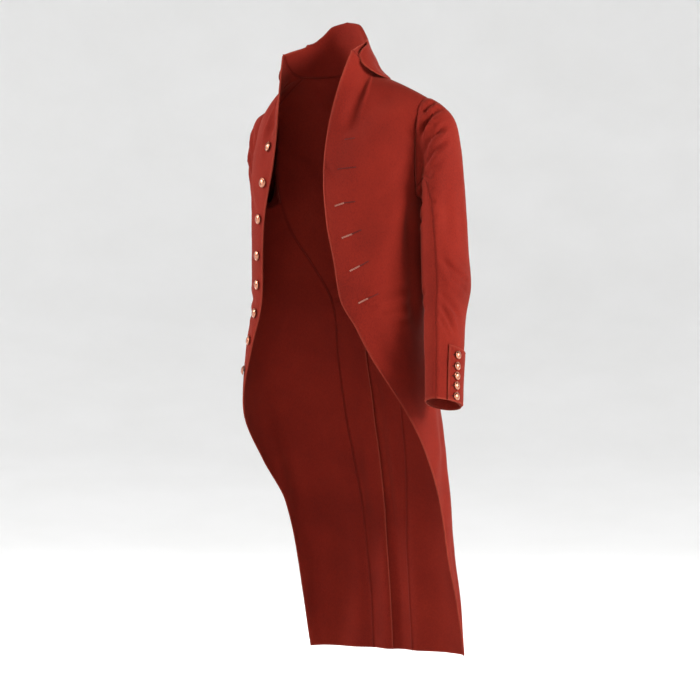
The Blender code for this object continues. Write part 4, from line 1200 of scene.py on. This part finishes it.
# The thread shank: its widths and heights in mm, and its foot's share of the button's radius
SHANK_PROFILE = [(0.55, 2.2), (0.5, 2.0), (0.42, 1.7), (0.40, 1.2), (0.46, 0.6), (0.62, 0.1), (0.7, -0.6)]
SHANK_SEGMENTS = 20
SHANK_SHARE = 0.26


def axis_of(node):
    """A button's seat, the way out of it, its radius and its height, read from its solid."""
    points = np.array([v.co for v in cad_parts[node].data.vertices], float) / MM
    middle = points.mean(axis=0)
    values, vectors = np.linalg.eigh(np.cov((points - middle).T))
    odd = 0 if values[1] - values[0] > values[2] - values[1] else 2
    axis = vectors[:, odd]
    up = (points - middle) @ axis
    off = np.linalg.norm(points - middle - up[:, None] * axis, axis=1)
    stem = up[off < off.max() * 0.5]
    if abs(stem.max()) > abs(stem.min()) and np.sum(up > up.mean()) < len(up) / 2:
        axis = -axis
    seated = (points - middle) @ axis
    return middle + axis * seated.min(), axis, off.max(), seated.max() - seated.min()


def turned(name, profile, finish, segments=BUTTON_SEGMENTS):
    """A turned piece: a profile of (radius, height) in mm, swept round Z."""
    mesh = bpy.data.meshes.new(name)
    points = [(r * MM, 0.0, z * MM) for r, z in profile]
    mesh.from_pydata(points, [(i, i + 1) for i in range(len(points) - 1)], [])
    obj = link(bpy.data.objects.new(name, mesh), finish)
    screw = obj.modifiers.new("turned", "SCREW")
    screw.steps = segments
    screw.render_steps = segments
    screw.use_merge_vertices = True
    screw.merge_threshold = 0.00001
    screw.use_normal_calculate = True
    screw.use_smooth_shade = True
    return obj


def stand_on(obj, seat, axis):
    obj.location = Vector(seat) * MM
    obj.rotation_euler = Vector(axis).to_track_quat("Z", "Y").to_euler()


def dress_buttons():
    """A gilt dome on every button's solid, on a shank of wound thread."""
    for node in sorted(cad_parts):
        if "button" not in node:
            continue
        seat, axis, radius, height = axis_of(node)
        outward = seat - np.array([0.0, 0.0, seat[2]])
        if "cuff" in node:
            side = SIDES["left" if seat[0] > 0 else "right"]
            outward = seat - np.array(nearest_arm_middle(side, seat[2]))
        if axis @ outward < 0:
            seat = seat + axis * height
            axis = -axis
        dome = height - STEM_HEIGHT
        profile = [(radius * r, STEM_HEIGHT + dome * up) for r, up in BUTTON_DOME]
        button = turned(f"{node}_gilt", profile, GILT)
        stand_on(button, seat, axis)
        trimming(button, node, slot="button_metal")
        wound = [(radius * SHANK_SHARE * r / SHANK_PROFILE[-1][0], up) for r, up in SHANK_PROFILE]
        shank = turned(f"{node}_shank", wound, RED_THREAD, SHANK_SEGMENTS)
        stand_on(shank, seat, axis)
        trimming(shank)


def nearest_arm_middle(side, height):
    middles = [section_middle(side, *row[:5]) for row in side["sleeve"]]
    return min(middles, key=lambda middle: abs(middle[2] - height))


dress_buttons()


def cloth_points(piece):
    """The shaped points and normals of a piece's outer face, in mm."""
    mesh = piece.data
    count = len(mesh.vertices)
    points = np.zeros(count * 3, np.float32)
    normals = np.zeros(count * 3, np.float32)
    mesh.vertices.foreach_get("co", points)
    mesh.vertex_normals.foreach_get("vector", normals)
    return points.reshape(-1, 3) / MM, normals.reshape(-1, 3)


def laid_on(piece, line, spacing):
    """A line in mm drawn onto a piece's face: evenly spaced points on it, with the ways out and along."""
    points, normals = cloth_points(piece)
    line = np.array(line, float)
    wanted = places_along(line, np.arange(0.0, reach_along(line)[-1] + 1e-6, spacing))
    seats = []
    outs = []
    for place in wanted:
        away = np.linalg.norm(points - place, axis=1)
        near = np.argsort(away)[:4]
        weight = 1 / (away[near] + 0.3)
        weight /= weight.sum()
        out = unit((normals[near] * weight[:, None]).sum(axis=0))
        lift = ((points[near] - place) @ out * weight).sum()
        seats.append(place + out * lift)
        outs.append(out)
    seats = np.array(seats)
    return seats, np.array(outs), unit(np.gradient(seats, axis=0))


def lump(centre, along, out, half_length, half_width, half_height):
    """The six-sided bead of one stitch, as its points and faces."""
    across = np.cross(out, along)
    points = []
    for share, size in ((-1.0, 0.35), (-0.55, 0.9), (0.55, 0.9), (1.0, 0.35)):
        for turn in np.linspace(0, 2 * math.pi, 6, endpoint=False):
            ring = across * math.cos(turn) * half_width + out * math.sin(turn) * half_height
            points.append(centre + along * half_length * share + ring * size)
    faces = [[0, 5, 4, 3, 2, 1], [18, 19, 20, 21, 22, 23]]
    for row in range(3):
        for i in range(6):
            j = (i + 1) % 6
            faces.append([row * 6 + i, row * 6 + j, row * 6 + 6 + j, row * 6 + 6 + i])
    return points, faces


def stitched(name, lumps, finish):
    """One piece of many stitches."""
    points = []
    faces = []
    for lump_points, lump_faces in lumps:
        start = len(points)
        points.extend(lump_points)
        faces.extend([start + i for i in face] for face in lump_faces)
    mesh = bpy.data.meshes.new(name)
    mesh.from_pydata((np.array(points) * MM).tolist(), [], faces)
    mesh.shade_smooth()
    return trimming(link(bpy.data.objects.new(name, mesh), finish))


def worked(seats, outs, ways, size):
    """The two rows of close stitches on either side of a hole's slit."""
    lumps = []
    for seat, out, way in zip(seats, outs, ways):
        across = np.cross(out, way)
        for hand in (-1, 1):
            centre = seat + across * hand * 0.85 * size + out * 0.2 * size
            lumps.append(lump(centre, across, out, 0.8 * size, 0.42, 0.42 * size))
    return lumps


# Buttonholes down the left front: where each starts near the edge and where it ends, and how much of each is
# painted lighter as a highlight
HOLES = [
    [(76, -105, -111), (94, -100, -109)],
    [(68, -114, -164), (100, -105, -161)],
    [(62.5, -114.7, -228.3), (78.8, -111.4, -223.4), (97.6, -105.6, -221.0)],
    [(73.4, -109.0, -284.3), (90.8, -104.2, -277.5), (108.9, -97.2, -268.9)],
    [(85.0, -101.2, -341.9), (107.9, -92.0, -329.8), (120.2, -85.3, -321.1)],
    [(98.0, -92.3, -397.8), (111.7, -84.5, -389.1), (127.0, -72.5, -378.5)],
]
HOLE_SHOWN = [0.0, 0.0, 0.46, 0.5, 0.52, 0.46]
HOLE_LENGTH = 38.0
STITCH_PITCH = 0.8
# The sizes of a hole's stitches, the painted highlit ones, the dull ones and those on a cuff, and how many
# stitches go to one mark of its slit
LIGHT_SIZE = 0.85
DULL_SIZE = 0.65
CUFF_SIZE = 0.75
STITCHES_TO_SLIT = 3


def dress_holes():
    """Worked buttonholes: a slit of painted shade between two close rows of silk, whose front half is painted
    lighter as a highlight.
    """
    light = []
    dull = []
    slits = []
    for line, shown in zip(HOLES, HOLE_SHOWN):
        seats, outs, ways = laid_on(PIECES["left_front"], line, STITCH_PITCH)
        count = min(len(seats), int(HOLE_LENGTH / STITCH_PITCH))
        for i in range(count):
            one = slice(i, i + 1)
            if i < shown * count:
                light += worked(seats[one], outs[one], ways[one], LIGHT_SIZE)
            else:
                dull += worked(seats[one], outs[one], ways[one], DULL_SIZE)
            if i % STITCHES_TO_SLIT == 0:
                # a strip of painted shade along the slit
                slits.append(lump(seats[i] + outs[i] * 0.1, ways[i], outs[i], 1.6, 0.3, 0.15))
    stitched("left_front_holes_light", light, HIGHLIT_THREAD)
    stitched("left_front_holes", dull, RED_THREAD)
    stitched("left_front_slits", slits, SLIT_SHADE)


dress_holes()


def edge_line(sheet, side, inset, rows, widths):
    """A line down a sheet at a distance in from its first edge."""
    return np.array([sheet(side, np.array(inset / width), np.array(row)) for row, width in zip(rows, widths)])


# Edge stitches: how far apart they are, how far in from each edge they run, and half the length, width and
# height of each
EDGE_PITCH = 4.4
FLAP_PITCH = 2.6
FRONT_INSET = 5.0
FLAP_INSET = 3.0
FALL_INSET = 4.5
EDGE_STITCH = (0.95, 0.26, 0.22)
# A cuff's worked hole: how far beside its button's middle it starts and ends
CUFF_HOLE = (6.0, 12.5)


def sewn_line(name, piece, line, pitch=EDGE_PITCH):
    """One row of small stitches along a line on a piece."""
    seats, outs, ways = laid_on(PIECES[piece], line, pitch)
    lumps = [lump(s + o * 0.05, w, o, *EDGE_STITCH) for s, o, w in zip(seats, outs, ways)]
    stitched(name, lumps, RED_THREAD)


def flap_line(side, inset, rows):
    """A line down the wrist flap at a distance in from its free edge."""
    place = mix(arm_place(FLAP_TURN), HIND_SEAM, inset / FLAP_WIDTH)
    return lifted_sleeve(side, np.array([place]), rows, np.full((len(rows), 1), LAP_STEP))[:, 0]


def dress_edges():
    """Rows of small stitches that hold the turned edges of the fronts and of the collar's fall."""
    for name, side in SIDES.items():
        rows = np.linspace(0.01, 1.0, 240)
        widths = row_widths(front_skirt, side, 1.0, rows)
        lower = edge_line(front_skirt, side, FRONT_INSET, rows, widths)
        top_rows = np.linspace(0.02, 0.97, 60)
        upper = edge_line(front_yoke, side, FRONT_INSET, top_rows, np.full(60, widths[-1]))
        sewn_line(f"{name}_front_edge_stitches", f"{name}_front", np.concatenate([lower, upper]))
    turns = np.linspace(NECK_TABLE[0][0], NECK_TABLE[-1][0], 90)
    down = [3 - FALL_INSET / FALL_DEPTH]
    left = collar_half(1, turns, down)[0]
    right = collar_half(-1, turns, down)[0]
    sewn_line("collar_edge_stitches", "collar", np.concatenate([left, right[::-1][1:]]))


def dress_flaps():
    """Each wrist flap's stitched edge, and the worked hole beside each of its buttons."""
    for name, side in SIDES.items():
        piece = f"{name}_under_sleeve"
        edge = flap_line(side, FLAP_INSET, np.linspace(FLAP_TOP + 0.008, 0.992, 50))
        sewn_line(f"{name}_flap_stitches", piece, edge, FLAP_PITCH)
        lumps = []
        for node in sorted(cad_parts):
            if node.startswith(f"{name}_cuff_button"):
                seat = axis_of(node)[0]
                aside = unit(edge[np.argmin(abs(edge[:, 2] - seat[2]))] - seat)
                ends = [seat + aside * CUFF_HOLE[0], seat + aside * CUFF_HOLE[1]]
                lumps += worked(*laid_on(PIECES[piece], ends, STITCH_PITCH), CUFF_SIZE)
        stitched(f"{name}_flap_holes", lumps, RED_THREAD)


dress_flaps()
dress_edges()


# The photograph's view, and the room
VIEW_AZIMUTH = math.radians(30)
VIEW_SIDE = 0.023
VIEW_HEIGHT = -0.48
VIEW_DISTANCE = 4.5
VIEW_WIDTH = 1.26
SENSOR = 36.0
AIM = Vector((VIEW_SIDE * math.cos(VIEW_AZIMUTH), VIEW_SIDE * math.sin(VIEW_AZIMUTH), VIEW_HEIGHT))


def place_camera():
    data = bpy.data.cameras.new("view")
    data.sensor_width = SENSOR
    data.lens = SENSOR / VIEW_WIDTH * VIEW_DISTANCE
    data.clip_end = 60.0
    camera = bpy.data.objects.new("view", data)
    back = Vector((math.sin(VIEW_AZIMUTH), -math.cos(VIEW_AZIMUTH), 0.0))
    camera.location = AIM + back * VIEW_DISTANCE
    camera.rotation_euler = (math.pi / 2, 0.0, VIEW_AZIMUTH)
    bpy.context.scene.collection.objects.link(camera)
    bpy.context.scene.camera = camera


FLOOR_HEIGHT = -1.62
FLOOR_RADIUS = 16.0


def lay_floor():
    """A round pale floor that sweeps up all round into a pale wall."""
    profile = [(0.0, 0.0), (7.0, 0.0), (9.0, 0.1), (11.0, 0.5), (13.0, 1.4), (15.0, 3.2), (FLOOR_RADIUS, 7.0)]
    mesh = bpy.data.meshes.new("floor")
    mesh.from_pydata([(r, 0.0, z) for r, z in profile], [(i, i + 1) for i in range(len(profile) - 1)], [])
    floor = link(bpy.data.objects.new("floor", mesh), plaster())
    floor.location = (0.0, 0.0, FLOOR_HEIGHT)
    screw = floor.modifiers.new("round", "SCREW")
    screw.steps = 96
    screw.render_steps = 96
    screw.use_smooth_shade = True


# Lamps on the coat: where each stands and the height it points at, its width, its spread and its power
LAMPS = {
    "key": ((-3.6, -2.6, 2.0), 0.35, 1.1, 40, 21),
    "right": ((4.2, 0.2, 0.8), -0.3, 1.5, 120, 125),
    "front": ((1.6, -4.4, -0.6), -0.7, 2.2, 90, 11),
    "behind": ((-1.0, 4.0, 1.6), -0.4, 2.2, 180, 60),
}
WORLD_LIGHT = 0.12
# Lamps high over the coat that face out and light the pale wall all round
WALL_LAMPS = 6
WALL_LAMP_SPOT = (2.4, 2.9)
WALL_LAMP_AIM = 11.0
WALL_LAMP_WIDTH = 1.2
WALL_LAMP_POWER = 540


def hang_lamp(name, spot, aim, width, spread, power):
    data = bpy.data.lights.new(name, "AREA")
    data.size = width
    data.spread = math.radians(spread)
    data.energy = power
    lamp = bpy.data.objects.new(name, data)
    lamp.location = spot
    lamp.rotation_euler = (Vector(aim) - Vector(spot)).to_track_quat("-Z", "Y").to_euler()
    bpy.context.scene.collection.objects.link(lamp)


def light_room():
    for name, (spot, height, width, spread, power) in LAMPS.items():
        hang_lamp(name, spot, (0, 0, height), width, spread, power)
    out, up = WALL_LAMP_SPOT
    for i in range(WALL_LAMPS):
        turn = 2 * math.pi * i / WALL_LAMPS
        way = Vector((math.sin(turn), -math.cos(turn), 0.0))
        spot = way * out + Vector((0, 0, up))
        hang_lamp(f"wall_{i + 1}", spot, way * WALL_LAMP_AIM, WALL_LAMP_WIDTH, 180, WALL_LAMP_POWER)
    world = bpy.data.worlds.new("room")
    world.use_nodes = True
    sky = world.node_tree.nodes["Background"]
    sky.inputs["Color"].default_value = (1.0, 1.0, 1.0, 1.0)
    sky.inputs["Strength"].default_value = WORLD_LIGHT
    bpy.context.scene.world = world
    bpy.context.scene.view_settings.view_transform = "Standard"


place_camera()
lay_floor()
light_room()
